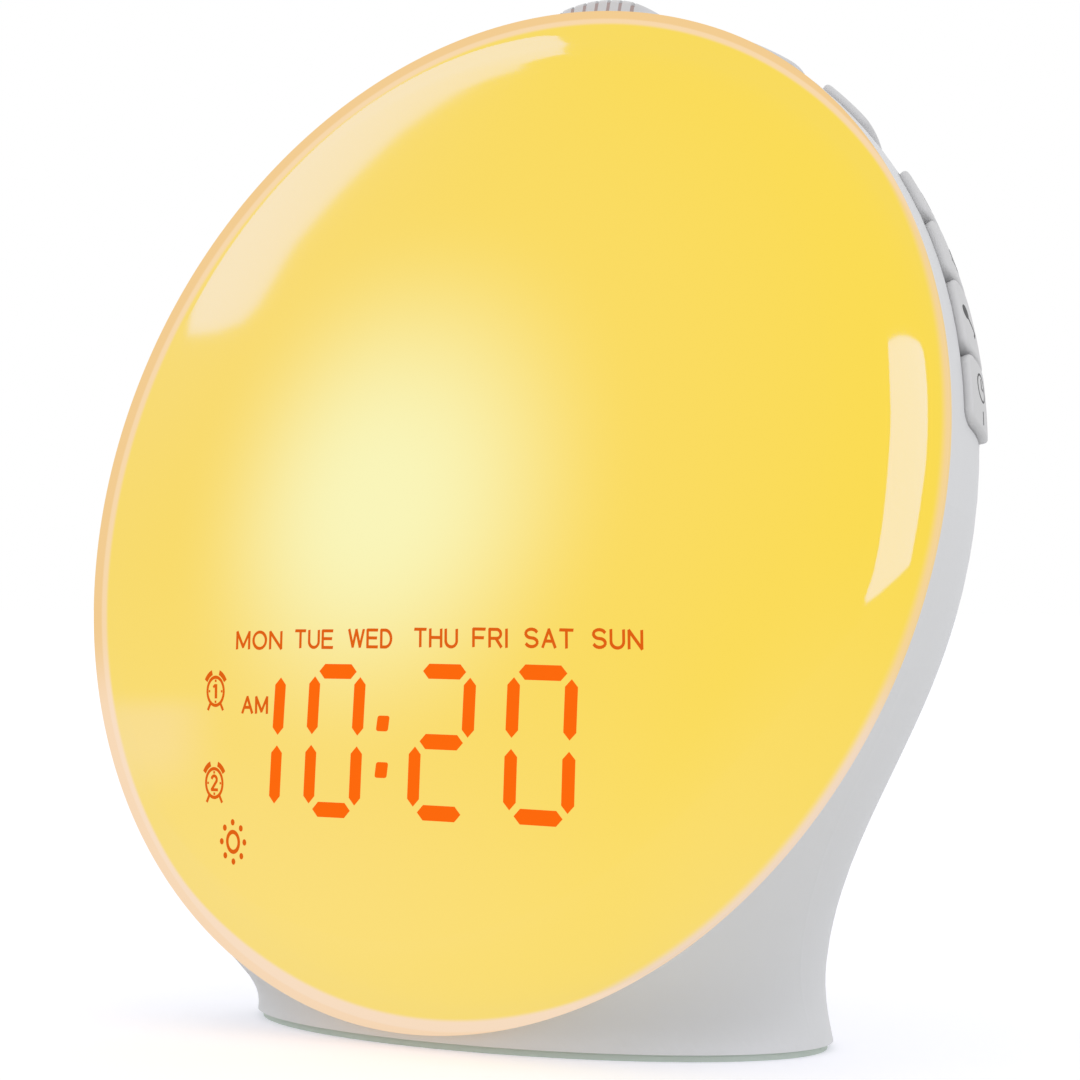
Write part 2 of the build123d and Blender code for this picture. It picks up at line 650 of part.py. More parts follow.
# ---------------------------------------------------------------- sound
SPEAKER_BACK = GASKET_T - SPEAKER_SEAT
BASKET_BACK = SPEAKER_BACK + FLANGE_T
BASKET_FRONT = BASKET_BACK + BASKET_T
with BuildPart() as speaker_gasket:
    disc(-SPEAKER_SEAT, SPEAKER_BACK, SPEAKER_R - 0.5, SPEAKER_R - 3)
save(speaker_gasket, "speaker_gasket")

with BuildPart() as speaker_frame:
    with BuildSketch(spoke(0)) as basket:
        with BuildLine():
            Polyline(
                (SPEAKER_R, SPEAKER_BACK), (SPEAKER_R, BASKET_BACK),
                (SPEAKER_R - BASKET_RIM, BASKET_BACK), (MAGNET_R + 1.5, BASKET_FRONT),
                (MAGNET_R / 3, BASKET_FRONT), (MAGNET_R / 3, BASKET_FRONT - FLANGE_T),
                (MAGNET_R + 0.6, BASKET_FRONT - FLANGE_T), (SPEAKER_R - 3.5, SPEAKER_BACK),
                close=True,
            )
        make_face()
    revolve(basket.sketch, axis=face_axis)
    for ear in EARS:
        disc(SPEAKER_BACK, BASKET_BACK, SPEAKER_EAR_R, at=ear)
    for ear in EARS:
        disc(SPEAKER_BACK, BASKET_BACK, SMALL_SHANK_R + SCREW_GAP, at=ear, mode=Mode.SUBTRACT)
save(speaker_frame, "speaker_frame")

with BuildPart() as speaker_magnet:
    disc(BASKET_FRONT, BASKET_FRONT + MAGNET_T, MAGNET_R)
    chamfer(speaker_magnet.edges().filter_by(GeomType.CIRCLE), 0.6)
save(speaker_magnet, "speaker_magnet")

with BuildPart() as speaker_cone:
    with BuildSketch(spoke(0)) as paper:
        with BuildLine():
            Polyline(
                (SPEAKER_R - 4.4, SPEAKER_BACK + 0.2), (SPEAKER_R - 4.4, SPEAKER_BACK + 0.8),
                (MAGNET_R / 3, BASKET_FRONT - 2 * FLANGE_T + 0.6), (0, BASKET_FRONT - 2 * FLANGE_T),
                (0, BASKET_FRONT - 2 * FLANGE_T - 0.6), (MAGNET_R / 3, BASKET_FRONT - 2 * FLANGE_T),
                close=True,
            )
        make_face()
    revolve(paper.sketch, axis=face_axis)
save(speaker_cone, "speaker_cone")


# ---------------------------------------------------------------- keys on both shoulders
def radial_edges(piece):
    """Straight edges that run outwards, square to the face's axis."""
    lines = piece.edges().filter_by(GeomType.LINE)
    return lines.filter_by(lambda edge: abs(edge.tangent_at(0.5).dot(face.z_dir)) < 0.5)


def ring_sector(first, last, r_from, r_to, depth_from, depth_to):
    """Part of a ring round the face's axis, between two angles and two depths behind the seam."""
    with BuildSketch(spoke(first)) as cut:
        with Locations(((r_from + r_to) / 2, -(depth_from + depth_to) / 2)):
            Rectangle(r_to - r_from, depth_to - depth_from)
    return revolve(cut.sketch, axis=face_axis, revolution_arc=last - first, mode=Mode.PRIVATE)


def key_on_shoulder(first, last, proud):
    """A key for the right shoulder: curved cap, flange behind the wall and short stem."""
    middle = (first + last) / 2
    with BuildSketch(spoke(first)) as cut:
        Ellipse(FACE_R + proud, DISH_DEPTH + proud)
        with Locations((FACE_R, -KEY_MID)):
            Rectangle(2 * (FACE_R - FLANGE_R), KEY_WIDTH, mode=Mode.INTERSECT)
    with BuildPart() as key:
        revolve(cut.sketch, axis=face_axis, revolution_arc=last - first)
        fillet(radial_edges(key), KEY_CORNER)
        top = key.faces().sort_by(Axis(CENTRE, outward(middle, 0, 0).z_dir))[-1]
        fillet(top.edges(), KEY_ROUND)
        add(ring_sector(first, last, FLANGE_R - KEY_FLANGE_T, FLANGE_R, FLANGE_FRONT, FLANGE_BACK))
        with BuildSketch(outward(middle, SWITCH_TOP + KEY_TRAVEL + PRESS_GAP, KEY_MID)) as stem:
            Circle(KEY_STEM_R)
        extrude(stem.sketch, amount=FLANGE_R - SWITCH_TOP - KEY_TRAVEL - PRESS_GAP)
    return key


for number, (first, last) in enumerate(KEYS, start=1):
    proud = TOP_KEY_PROUD if number == len(KEYS) else KEY_PROUD
    right_key = key_on_shoulder(first, last, proud)
    save(right_key, f"right_key_{number}")
    with BuildPart() as left_key:
        mirror(right_key.part, about=Plane.YZ)
    save(left_key, f"left_key_{number}")

with BuildPart() as right_key_carrier:
    add(ring_sector(CARRIER_FROM, CARRIER_TO, CARRIER_R - CARRIER_T, CARRIER_R, -TRAY_BACK, CARRIER_BACK))
save(right_key_carrier, "right_key_carrier")

with BuildPart() as left_key_carrier:
    mirror(right_key_carrier.part, about=Plane.YZ)
save(left_key_carrier, "left_key_carrier")

with BuildPart() as right_key_board:
    add(ring_sector(CARRIER_FROM + 1, CARRIER_TO - 1, CARRIER_R, SWITCH_FOOT, KEY_FRONT, CARRIER_BACK))
save(right_key_board, "right_key_board")

with BuildPart() as left_key_board:
    mirror(right_key_board.part, about=Plane.YZ)
save(left_key_board, "left_key_board")

with BuildPart() as right_switches:
    for first, last in KEYS:
        with BuildSketch(outward((first + last) / 2, SWITCH_FOOT, KEY_MID)) as body:
            RectangleRounded(SWITCH_SIZE, SWITCH_SIZE, 0.5)
        extrude(body.sketch, amount=SWITCH_T)
        with BuildSketch(outward((first + last) / 2, SWITCH_FOOT + SWITCH_T, KEY_MID)) as plunger:
            Circle(PLUNGER_R)
        extrude(plunger.sketch, amount=PLUNGER_T)
save(right_switches, "right_switches")

with BuildPart() as left_switches:
    mirror(right_switches.part, about=Plane.YZ)
save(left_switches, "left_switches")


# ---------------------------------------------------------------- snooze button
with BuildPart() as snooze_button:
    add(rounded_bar(SNOOZE_W, SNOOZE_D, SNOOZE_CORNER, SNOOZE_FLANGE_TOP, SNOOZE_TOP))
    with BuildSketch(face) as arch:
        with Locations((0, SNOOZE_TOP - SNOOZE_ARCH_R)):
            Circle(SNOOZE_ARCH_R)
    extrude(arch.sketch, amount=-2 * KEY_BACK, mode=Mode.INTERSECT)
    crown = snooze_button.faces().sort_by(Axis(CENTRE, face.y_dir))[-1]
    fillet(crown.edges(), KEY_ROUND)
    with BuildSketch(face) as grooves:
        with Locations((0, SNOOZE_TOP - SNOOZE_ARCH_R / 2)):
            with GridLocations(SNOOZE_PITCH, 1, SNOOZE_RIBS - 1, 1):
                Rectangle(SNOOZE_PITCH - SNOOZE_RIB, SNOOZE_ARCH_R)
        with Locations((0, SNOOZE_TOP - SNOOZE_ARCH_R)):
            Circle(SNOOZE_ARCH_R - RIB_DEPTH, mode=Mode.SUBTRACT)
    extrude(grooves.sketch, amount=-2 * KEY_BACK, mode=Mode.SUBTRACT)
    flange_foot = SNOOZE_FLANGE_TOP - KEY_FLANGE_T
    add(
        rounded_bar(
            SNOOZE_FLANGE_W, SNOOZE_FLANGE_D, SNOOZE_CORNER, flange_foot, SNOOZE_FLANGE_TOP
        )
    )
    stem_foot = SNOOZE_SWITCH_TOP + SNOOZE_TRAVEL + PRESS_GAP
    with BuildSketch(outward(90, stem_foot, SNOOZE_MID)) as stem:
        Circle(2 * KEY_STEM_R)
    extrude(stem.sketch, amount=flange_foot - stem_foot)
save(snooze_button, "snooze_button")

with BuildPart() as snooze_board:
    with BuildSketch(outward(90, SHELF_UP, SNOOZE_MID)) as flat:
        Rectangle(SHELF_W - 2, SNOOZE_D + 1)
    extrude(flat.sketch, amount=BOARD_T)
save(snooze_board, "snooze_board")

with BuildPart() as snooze_switch:
    with BuildSketch(outward(90, SHELF_UP + BOARD_T, SNOOZE_MID)) as body:
        RectangleRounded(SWITCH_SIZE, SWITCH_SIZE, 0.5)
    extrude(body.sketch, amount=SWITCH_T)
    with BuildSketch(outward(90, SHELF_UP + BOARD_T + SWITCH_T, SNOOZE_MID)) as plunger:
        Circle(PLUNGER_R)
    extrude(plunger.sketch, amount=PLUNGER_T)
save(snooze_switch, "snooze_switch")


# ---------------------------------------------------------------- underside
with BuildPart() as base_plate:
    with BuildSketch(Plane.XY.offset(PAD_T)) as floor:
        Ellipse(FOOT_HALF_W - HOUSING_WALL - FIT_GAP, FOOT_HALF_D - HOUSING_WALL - FIT_GAP)
    extrude(floor.sketch, amount=BASE_T)
    with BuildSketch(Plane.XY.offset(BASE_TOP)) as pedestal:
        with Locations((JACK_X, JACK_BACK - JACK_L / 2)):
            Rectangle(JACK_W, JACK_L)
    extrude(pedestal.sketch, amount=JACK_Z - JACK_H / 2 - BASE_TOP)
    with BuildSketch(Plane.XY.offset(PAD_T)) as floor_holes:
        with Locations(*BASE_SCREW_AT):
            Circle(SMALL_SHANK_R + SCREW_GAP)
    extrude(floor_holes.sketch, amount=BASE_T, mode=Mode.SUBTRACT)
    with BuildSketch(Plane.XY.offset(PAD_T)) as floor_sinks:
        with Locations(*BASE_SCREW_AT):
            Circle(SMALL_HEAD_R + FIT_GAP)
    extrude(floor_sinks.sketch, amount=SMALL_HEAD_T, mode=Mode.SUBTRACT)
save(base_plate, "base_plate")

with BuildPart() as base_pad:
    with BuildSketch():
        Ellipse(FOOT_HALF_W - PAD_INSET, FOOT_HALF_D - PAD_INSET)
    extrude(amount=PAD_T)
save(base_pad, "base_pad")


# ---------------------------------------------------------------- back of the foot
with BuildPart() as dc_jack:
    with BuildSketch(back_wall) as jack_body:
        with Locations((-JACK_X, JACK_Z)):
            Rectangle(JACK_W, JACK_H)
    extrude(jack_body.sketch, amount=-JACK_L)
    with BuildSketch(back_wall) as nose:
        with Locations((-JACK_X, JACK_Z)):
            Circle(JACK_NOSE_R)
    extrude(nose.sketch, amount=JACK_NOSE_L)
    with BuildSketch(back_wall.offset(JACK_NOSE_L)) as bore:
        with Locations((-JACK_X, JACK_Z)):
            Circle(JACK_BORE_R)
            Circle(JACK_PIN_R, mode=Mode.SUBTRACT)
    extrude(bore.sketch, amount=-JACK_BORE_L, mode=Mode.SUBTRACT)
save(dc_jack, "dc_jack")

with BuildPart() as aerial_grommet:
    grommet_plane = back_wall.offset(GROMMET_SEAT - JACK_BACK)
    barb_plane = grommet_plane.offset(-GROMMET_WALL)
    with BuildSketch(grommet_plane) as rim:
        with Locations((-GROMMET_X, JACK_Z)):
            Circle(GROMMET_RIM_R)
    extrude(rim.sketch, amount=GROMMET_RIM_T)
    with BuildSketch(grommet_plane) as neck:
        with Locations((-GROMMET_X, JACK_Z)):
            Circle(GROMMET_R)
    extrude(neck.sketch, amount=-GROMMET_WALL)
    with BuildSketch(barb_plane) as barb:
        with Locations((-GROMMET_X, JACK_Z)):
            Circle(GROMMET_BARB_R)
    extrude(barb.sketch, amount=-GROMMET_BARB_T)
    with BuildSketch(grommet_plane.offset(GROMMET_RIM_T)) as eye:
        with Locations((-GROMMET_X, JACK_Z)):
            Circle(GROMMET_HOLE_R)
    extrude(eye.sketch, amount=-2 * FOOT_HALF_D, mode=Mode.SUBTRACT)
save(aerial_grommet, "aerial_grommet")

holder_plane = back_wall.offset(HOLDER_BACK - JACK_BACK)
CELL_Z = DOOR_Z - CELL_DOWN
SCREW_Z = DOOR_Z + DOOR_SCREW_UP

with BuildPart() as battery_holder:
    with BuildSketch(holder_plane) as holder_body:
        with Locations((-DOOR_X, (BASE_TOP + DOOR_Z + DOOR_H / 2) / 2)):
            Rectangle(HOLDER_W, DOOR_Z + DOOR_H / 2 - BASE_TOP)
    extrude(holder_body.sketch, amount=-HOLDER_T)
    with BuildSketch(holder_plane) as pocket:
        with Locations((-DOOR_X, CELL_Z)):
            Circle(CELL_R + FIT_GAP)
    extrude(pocket.sketch, amount=-CELL_T - CONTACT_T, mode=Mode.SUBTRACT)
    with BuildSketch(holder_plane) as screw_post:
        with Locations((-DOOR_X, SCREW_Z)):
            Circle(SMALL_HEAD_R)
    extrude(screw_post.sketch, amount=DOOR_POST_L)
    with BuildSketch(holder_plane.offset(DOOR_POST_L)) as screw_hole:
        with Locations((-DOOR_X, SCREW_Z)):
            Circle(SMALL_SHANK_R + SCREW_GAP)
    extrude(screw_hole.sketch, amount=-DOOR_POST_L - HOLDER_T / 2, mode=Mode.SUBTRACT)
save(battery_holder, "battery_holder")

with BuildPart() as coin_cell:
    with BuildSketch(holder_plane) as cell:
        with Locations((-DOOR_X, CELL_Z)):
            Circle(CELL_R)
    extrude(cell.sketch, amount=-CELL_T)
    fillet(coin_cell.edges().filter_by(GeomType.CIRCLE), 0.4)
save(coin_cell, "coin_cell")

with BuildPart() as battery_contact:
    with BuildSketch(holder_plane.offset(-CELL_T - CONTACT_T)) as spring_leaf:
        with Locations((-DOOR_X, CELL_Z)):
            RectangleRounded(CELL_R, CELL_R / 2, 1)
    extrude(spring_leaf.sketch, amount=CONTACT_T)
save(battery_contact, "battery_contact")

with BuildPart() as battery_door:
    add(outer)
    add(inner, mode=Mode.SUBTRACT)
    with BuildSketch(holder_plane) as door_shape:
        with Locations((-DOOR_X, DOOR_Z)):
            RectangleRounded(DOOR_W, DOOR_H, DOOR_CORNER)
    extrude(door_shape.sketch, amount=FOOT_HALF_D, mode=Mode.INTERSECT)
    with BuildSketch(holder_plane) as door_hole:
        with Locations((-DOOR_X, SCREW_Z)):
            Circle(SMALL_SHANK_R + SCREW_GAP)
    extrude(door_hole.sketch, amount=FOOT_HALF_D, mode=Mode.SUBTRACT)
    with BuildSketch(holder_plane.offset(DOOR_SEAT - HOLDER_BACK)) as door_sink:
        with Locations((-DOOR_X, SCREW_Z)):
            Circle(SMALL_HEAD_R + FIT_GAP)
    extrude(door_sink.sketch, amount=FOOT_HALF_D, mode=Mode.SUBTRACT)
save(battery_door, "battery_door")


# ---------------------------------------------------------------- screws
def rear_seat(at, depth):
    """Plane at a place behind the face, looking to the back."""
    place = CENTRE + face.x_dir * at[0] + face.y_dir * at[1] - face.z_dir * depth
    return Plane(origin=place, x_dir=face.x_dir, z_dir=-face.z_dir)


def front_seat(at, depth):
    """Plane at a place behind the face, looking to the front."""
    place = CENTRE + face.x_dir * at[0] + face.y_dir * at[1] - face.z_dir * depth
    return Plane(origin=place, x_dir=face.x_dir, z_dir=face.z_dir)


with BuildPart() as case_screws:
    for place in CASE_SCREW_AT:
        shank_l = CASE_SEAT_DEPTH + LEDGE_BACK
        screw(rear_seat(place, CASE_SEAT_DEPTH), CASE_SHANK_R, shank_l, CASE_HEAD_R, CASE_HEAD_T)
save(case_screws, "case_screws")

with BuildPart() as board_screws:
    for place in GridLocations(*MAIN_HOLES, 2, 2):
        at = (place.position.X, place.position.Y + MAIN_UP)
        screw(rear_seat(at, -MAIN_BACK), SMALL_SHANK_R, 8, SMALL_HEAD_R, SMALL_HEAD_T)
save(board_screws, "board_screws")

with BuildPart() as speaker_screws:
    for ear in EARS:
        screw(front_seat(ear, -BASKET_BACK), SMALL_SHANK_R, 5, SMALL_HEAD_R, SMALL_HEAD_T)
save(speaker_screws, "speaker_screws")

with BuildPart() as base_screws:
    for side_x, side_y in BASE_SCREW_AT:
        seat = Plane(origin=(side_x, side_y, PAD_T + SMALL_HEAD_T), z_dir=(0, 0, -1))
        screw(seat, SMALL_SHANK_R, 8, SMALL_HEAD_R, SMALL_HEAD_T)
save(base_screws, "base_screws")

with BuildPart() as door_screw:
    seat = Plane(origin=(DOOR_X, DOOR_SEAT, SCREW_Z), x_dir=(-1, 0, 0), z_dir=(0, 1, 0))
    screw(seat, SMALL_SHANK_R, 8, SMALL_HEAD_R, SMALL_HEAD_T)
save(door_screw, "door_screw")


# ---------------------------------------------------------------- wires
def in_face(across, up, depth):
    """Point given across, up and behind the face."""
    return CENTRE + face.x_dir * across + face.y_dir * up - face.z_dir * depth


def wire(points, leave, arrive):
    """Round wire along a smooth line through the points, with its directions at both ends."""
    with BuildLine() as path:
        Spline(*points, tangents=(leave, arrive))
    with BuildSketch(Plane(origin=path.line @ 0, z_dir=path.line % 0)) as round_cut:
        Circle(WIRE_R)
    sweep(round_cut.sketch, path=path.line)


WIRE_LIE = -MAIN_BACK + WIRE_R
JACK_FRONT = JACK_BACK - JACK_L

with BuildPart() as power_wires:
    for side in (-1, 1):
        across = JACK_X + side * 2 * WIRE_R
        start = Vector(across, JACK_FRONT, JACK_Z)
        bend_foot = start + Vector(0, -5, 8)
        board_foot = in_face(across, MAIN_UP - MAIN_H / 2, WIRE_LIE + 3)
        board_end = in_face(across, MAIN_UP - MAIN_H / 3, WIRE_LIE)
        wire((start, bend_foot, board_foot, board_end), (0, -1, 0), face.y_dir)
save(power_wires, "power_wires")

with BuildPart() as speaker_wires:
    for side in (-1, 1):
        across = side * 2 * WIRE_R
        up = SPEAKER_R - BASKET_RIM / 2
        frame_end = in_face(across, up, -BASKET_BACK)
        middle = in_face(across, up + WIRE_R, (WIRE_LIE - BASKET_BACK) / 2)
        board_end = in_face(across, up - 6, WIRE_LIE)
        wire((frame_end, middle, board_end), face.z_dir, face.y_dir * -1)
save(speaker_wires, "speaker_wires")
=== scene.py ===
import json
from math import asin, atan2, ceil, cos, degrees, pi, radians, sin, sqrt

import bmesh
import bpy
from mathutils import Matrix, Vector


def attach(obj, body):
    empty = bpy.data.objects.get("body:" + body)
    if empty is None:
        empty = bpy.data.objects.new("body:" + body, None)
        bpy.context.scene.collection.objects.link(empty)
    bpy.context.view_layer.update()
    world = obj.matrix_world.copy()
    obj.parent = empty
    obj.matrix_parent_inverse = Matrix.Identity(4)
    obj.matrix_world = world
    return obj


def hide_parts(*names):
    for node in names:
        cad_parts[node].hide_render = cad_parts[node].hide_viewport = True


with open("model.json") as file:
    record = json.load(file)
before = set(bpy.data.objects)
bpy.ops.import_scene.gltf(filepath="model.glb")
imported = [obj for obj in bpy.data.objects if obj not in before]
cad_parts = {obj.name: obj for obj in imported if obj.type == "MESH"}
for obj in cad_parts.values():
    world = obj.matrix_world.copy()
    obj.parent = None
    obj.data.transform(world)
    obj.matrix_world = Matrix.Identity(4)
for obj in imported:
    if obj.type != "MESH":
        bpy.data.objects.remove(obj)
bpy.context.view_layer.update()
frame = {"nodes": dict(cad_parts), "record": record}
MM = 0.001

# ------------------------------------------------------------ the clock's own shape, in millimetres
FACE_R = 90.0
FACE_TILT = 14.7
FACE_LIFT = 2.4
FACE_FORWARD = 10.9
DISH_DEPTH = 51.5
EDGE_R = 16.7
EDGE_BEHIND = 2.9
DOME_RISE = 18.0
FRONT_WALL = 2.2
LIP_R = 87.7
LIP_T = 1.2
LIP_BACK = 2.0
LIP_RISE = 4.0
KEY_PROUD = 1.4
TOP_KEY_PROUD = 1.1
KEY_MID = 10.9

TILT_SIN = sin(radians(FACE_TILT))
TILT_COS = cos(radians(FACE_TILT))
CENTRE = Vector((0, -FACE_FORWARD, FACE_LIFT + FACE_R * TILT_COS))
ACROSS = Vector((1, 0, 0))
UP_FACE = Vector((0, TILT_SIN, TILT_COS))
OUT = Vector((0, -TILT_COS, TILT_SIN))
EDGE_AT = FACE_R - sqrt(EDGE_R**2 - EDGE_BEHIND**2)
RISE = DOME_RISE + EDGE_BEHIND
DOME_R = (EDGE_AT**2 + RISE**2 - EDGE_R**2) / (2 * (RISE - EDGE_R))
DOME_AT = DOME_RISE - DOME_R
FACE_TURN = radians(90 - FACE_TILT)


def from_face(across, up, out):
    """Point in the clock's frame, in metres, from millimetres in the face's own directions."""
    return (CENTRE + ACROSS * across + UP_FACE * up + OUT * out) * MM


def dome_height(radius):
    return DOME_AT + sqrt(DOME_R**2 - radius**2)


def on_front(across, up, lift):
    """Point on the domed front, lifted off it."""
    return from_face(across, up, dome_height(sqrt(across**2 + up**2)) + lift)


def on_shoulder(angle, behind, proud, lift):
    """Point on a key's curved top: angle round the rim, depth behind the seam."""
    share = sqrt(1 - (behind / (DISH_DEPTH + proud)) ** 2)
    radius = (FACE_R + proud) * share + lift
    return from_face(radius * cos(radians(angle)), radius * sin(radians(angle)), -behind)


# ------------------------------------------------------------ material helpers
def linear(value):
    return value / 12.92 if value <= 0.04045 else ((value + 0.055) / 1.055) ** 2.4


def tone(red, green, blue):
    """Colour from its 0 to 255 display values."""
    return (linear(red / 255), linear(green / 255), linear(blue / 255), 1.0)


class Graph:
    """Nodes and links of one node tree, with short calls for what the materials need most."""

    def __init__(self, tree):
        self.nodes, self.links = tree.nodes, tree.links

    def feed(self, socket, value):
        """Link another node's output to a socket, or set a number or colour on it."""
        if isinstance(value, bpy.types.NodeSocket):
            self.links.new(value, socket)
        else:
            socket.default_value = value

    def add(self, kind, feeds=None, **settings):
        """New node with its settings, and its sockets fed by name or number."""
        node = self.nodes.new(kind)
        for name, value in settings.items():
            setattr(node, name, value)
        for key, value in (feeds or {}).items():
            self.feed(node.inputs[key], value)
        return node

    def place(self):
        """Point on the piece, in metres in the clock's frame."""
        return self.add("ShaderNodeTexCoord").outputs["Object"]

    def noise(self, feeds):
        return self.add("ShaderNodeTexNoise", {"Vector": self.place(), **feeds}).outputs["Fac"]

    def maths(self, operation, *values):
        return self.add("ShaderNodeMath", dict(enumerate(values)), operation=operation).outputs[0]

    def total(self, *terms):
        """Sum of (value, factor) pairs."""
        total = 0.0
        for value, factor in terms:
            total = self.maths("MULTIPLY_ADD", value, factor, total)
        return total

    def distance(self, first, second):
        """Length of the slant over two sides at right angles."""
        square = self.maths("MULTIPLY", first, first)
        return self.maths("SQRT", self.maths("MULTIPLY_ADD", second, second, square))

    def scaled(self, colour, factor):
        feeds = {0: colour, "Scale": factor}
        return self.add("ShaderNodeVectorMath", feeds, operation="SCALE").outputs[0]

    def ease(self, value, low, high):
        """Smooth step from 0 at low to 1 at high, which may lie below low."""
        rising = low < high
        feeds = {
            "Value": value,
            "From Min": min(low, high),
            "From Max": max(low, high),
            "To Min": 0.0 if rising else 1.0,
            "To Max": 1.0 if rising else 0.0,
        }
        return self.add("ShaderNodeMapRange", feeds, interpolation_type="SMOOTHERSTEP").outputs["Result"]

    def blend(self, factor, first, second, way="MIX"):
        """Mix or sum of two colours."""
        node = self.add("ShaderNodeMix", {"Factor": factor}, data_type="RGBA", blend_type=way)
        colours = [socket for socket in node.inputs if socket.type == "RGBA"]
        for socket, value in zip(colours, (first, second)):
            self.feed(socket, value)
        return next(socket for socket in node.outputs if socket.type == "RGBA")

    def seen(self):
        """1 for what the camera, mirrors and glass see, and 0 for light falling on things."""
        path = self.add("ShaderNodeLightPath").outputs
        mirrored = self.maths("MAXIMUM", path["Is Camera Ray"], path["Is Glossy Ray"])
        return self.maths("MAXIMUM", mirrored, path["Is Transmission Ray"])

    def show(self, shader):
        self.links.new(shader.outputs[0], self.nodes["Material Output"].inputs["Surface"])


def new_material(name):
    """New material, its graph and the shader that it starts with."""
    material = bpy.data.materials.new(name)
    material.use_nodes = True
    graph = Graph(material.node_tree)
    return material, graph, graph.nodes["Principled BSDF"]


# ------------------------------------------------------------ finishes of plastic, rubber, metal and paper
GRAIN_DETAIL = 3
GRAIN_HEIGHT = 0.2 * MM
MOTTLE_SCALE = 28
MOTTLE_DETAIL = 4
GLOSS_SPREAD = 0.12


def moulded_surface():
    """Fine grain, slight mottle and uneven gloss, as moulded plastic, rubber and plated metal have."""
    tree = bpy.data.node_groups.new("moulded_surface", "ShaderNodeTree")
    for name, way, kind in (
        ("Colour", "INPUT", "NodeSocketColor"),
        ("Mottle", "INPUT", "NodeSocketFloat"),
        ("Grain scale", "INPUT", "NodeSocketFloat"),
        ("Grain depth", "INPUT", "NodeSocketFloat"),
        ("Roughness", "INPUT", "NodeSocketFloat"),
        ("Colour", "OUTPUT", "NodeSocketColor"),
        ("Roughness", "OUTPUT", "NodeSocketFloat"),
        ("Normal", "OUTPUT", "NodeSocketVector"),
    ):
        tree.interface.new_socket(name=name, in_out=way, socket_type=kind)
    graph = Graph(tree)
    given = graph.add("NodeGroupInput").outputs
    grain = graph.noise({"Scale": given["Grain scale"], "Detail": GRAIN_DETAIL})
    bump = graph.add(
        "ShaderNodeBump", {"Height": grain, "Strength": given["Grain depth"], "Distance": GRAIN_HEIGHT}
    )
    cloud = graph.noise({"Scale": MOTTLE_SCALE, "Detail": MOTTLE_DETAIL})
    centred = graph.maths("SUBTRACT", cloud, 0.5)
    shift = graph.maths("MULTIPLY_ADD", centred, given["Mottle"], 1.0)
    graph.add("NodeGroupOutput", {
        "Colour": graph.scaled(given["Colour"], shift),
        "Roughness": graph.maths("MULTIPLY_ADD", centred, GLOSS_SPREAD, given["Roughness"]),
        "Normal": bump.outputs["Normal"],
    })
    return tree


SURFACE = moulded_surface()


def finish_material(
    name, colour, roughness, grain=900.0, depth=0.05, mottle=0.04, metallic=0.0, specular=0.5
):
    """Opaque material with the moulded surface built in."""
    material, graph, shader = new_material(name)
    surface = graph.nodes.new("ShaderNodeGroup")
    surface.node_tree = SURFACE
    for key, value in (
        ("Colour", colour), ("Mottle", mottle), ("Grain scale", grain), ("Grain depth", depth),
        ("Roughness", roughness),
    ):
        surface.inputs[key].default_value = value
    for key, value in (
        ("Base Color", surface.outputs["Colour"]), ("Roughness", surface.outputs["Roughness"]),
        ("Normal", surface.outputs["Normal"]), ("Metallic", metallic), ("Specular IOR Level", specular),
    ):
        graph.feed(shader.inputs[key], value)
    return material


FINISHES = {
    "housing": finish_material("housing_plastic", tone(224, 225, 227), 0.6, grain=1400, specular=0.2),
    "pad": finish_material("foot_pad_rubber", tone(208, 220, 210), 0.62, grain=700, depth=0.25),
    "keys": finish_material("key_plastic", tone(213, 213, 214), 0.6, grain=1400, depth=0.08, specular=0.2),
    "inner_plastic": finish_material("inner_plastic", tone(232, 232, 228), 0.5),
    "board": finish_material("board_green", tone(24, 96, 52), 0.4, grain=300, depth=0.1),
    "lamp": finish_material("lamp_lens", tone(250, 232, 150), 0.25),
    "light_guide": finish_material("light_guide", tone(240, 240, 238), 0.3),
    "film": finish_material("legend_film", tone(60, 56, 52), 0.45),
    "black_plastic": finish_material("black_plastic", tone(28, 28, 30), 0.42, depth=0.1),
    "capacitor": finish_material("capacitor_sleeve", tone(34, 40, 92), 0.3),
    "steel": finish_material(
        "plated_steel", tone(196, 196, 196), 0.28, grain=500, mottle=0.05, metallic=1.0
    ),
    "dark_metal": finish_material(
        "dark_metal", tone(44, 44, 46), 0.4, grain=500, depth=0.1, mottle=0.05, metallic=0.6
    ),
    "paper": finish_material("cone_paper", tone(52, 50, 47), 0.85, grain=260, depth=0.5, mottle=0.15),
    "soft_rubber": finish_material("soft_rubber", tone(46, 46, 48), 0.65, grain=700, depth=0.2),
    "wire": finish_material("wire_sleeve", tone(168, 30, 26), 0.45),
    "ribbon": finish_material("ribbon", tone(214, 208, 194), 0.4),
}
KEY_PRINT = finish_material("key_print", tone(22, 22, 24), 0.5)
GROOVE_SHADE = finish_material("groove_shade", tone(172, 152, 148), 0.7)

# ------------------------------------------------------------ finish of the glowing front
# Its light is a sum of linear colours: an even yellow, halo and core of the lamp behind it, the paler
# light low down and to the upper left, and two paler patches low on the left and the right
YELLOW = (0.98, 0.714, 0.02, 1)
HALO = (0.0, 0.0, 0.0756, 1)
CORE = (-0.01, 0.21, 0.355, 1)
LOW_LIGHT = (0.01, 0.03, 0.108, 1)
SIDE_LIGHT = (0.0, 0.01, 0.079, 1)
LEFT_LIGHT = (0.0, 0.012, 0.1, 1)
RIGHT_LIGHT = (0.0, 0.004, 0.035, 1)
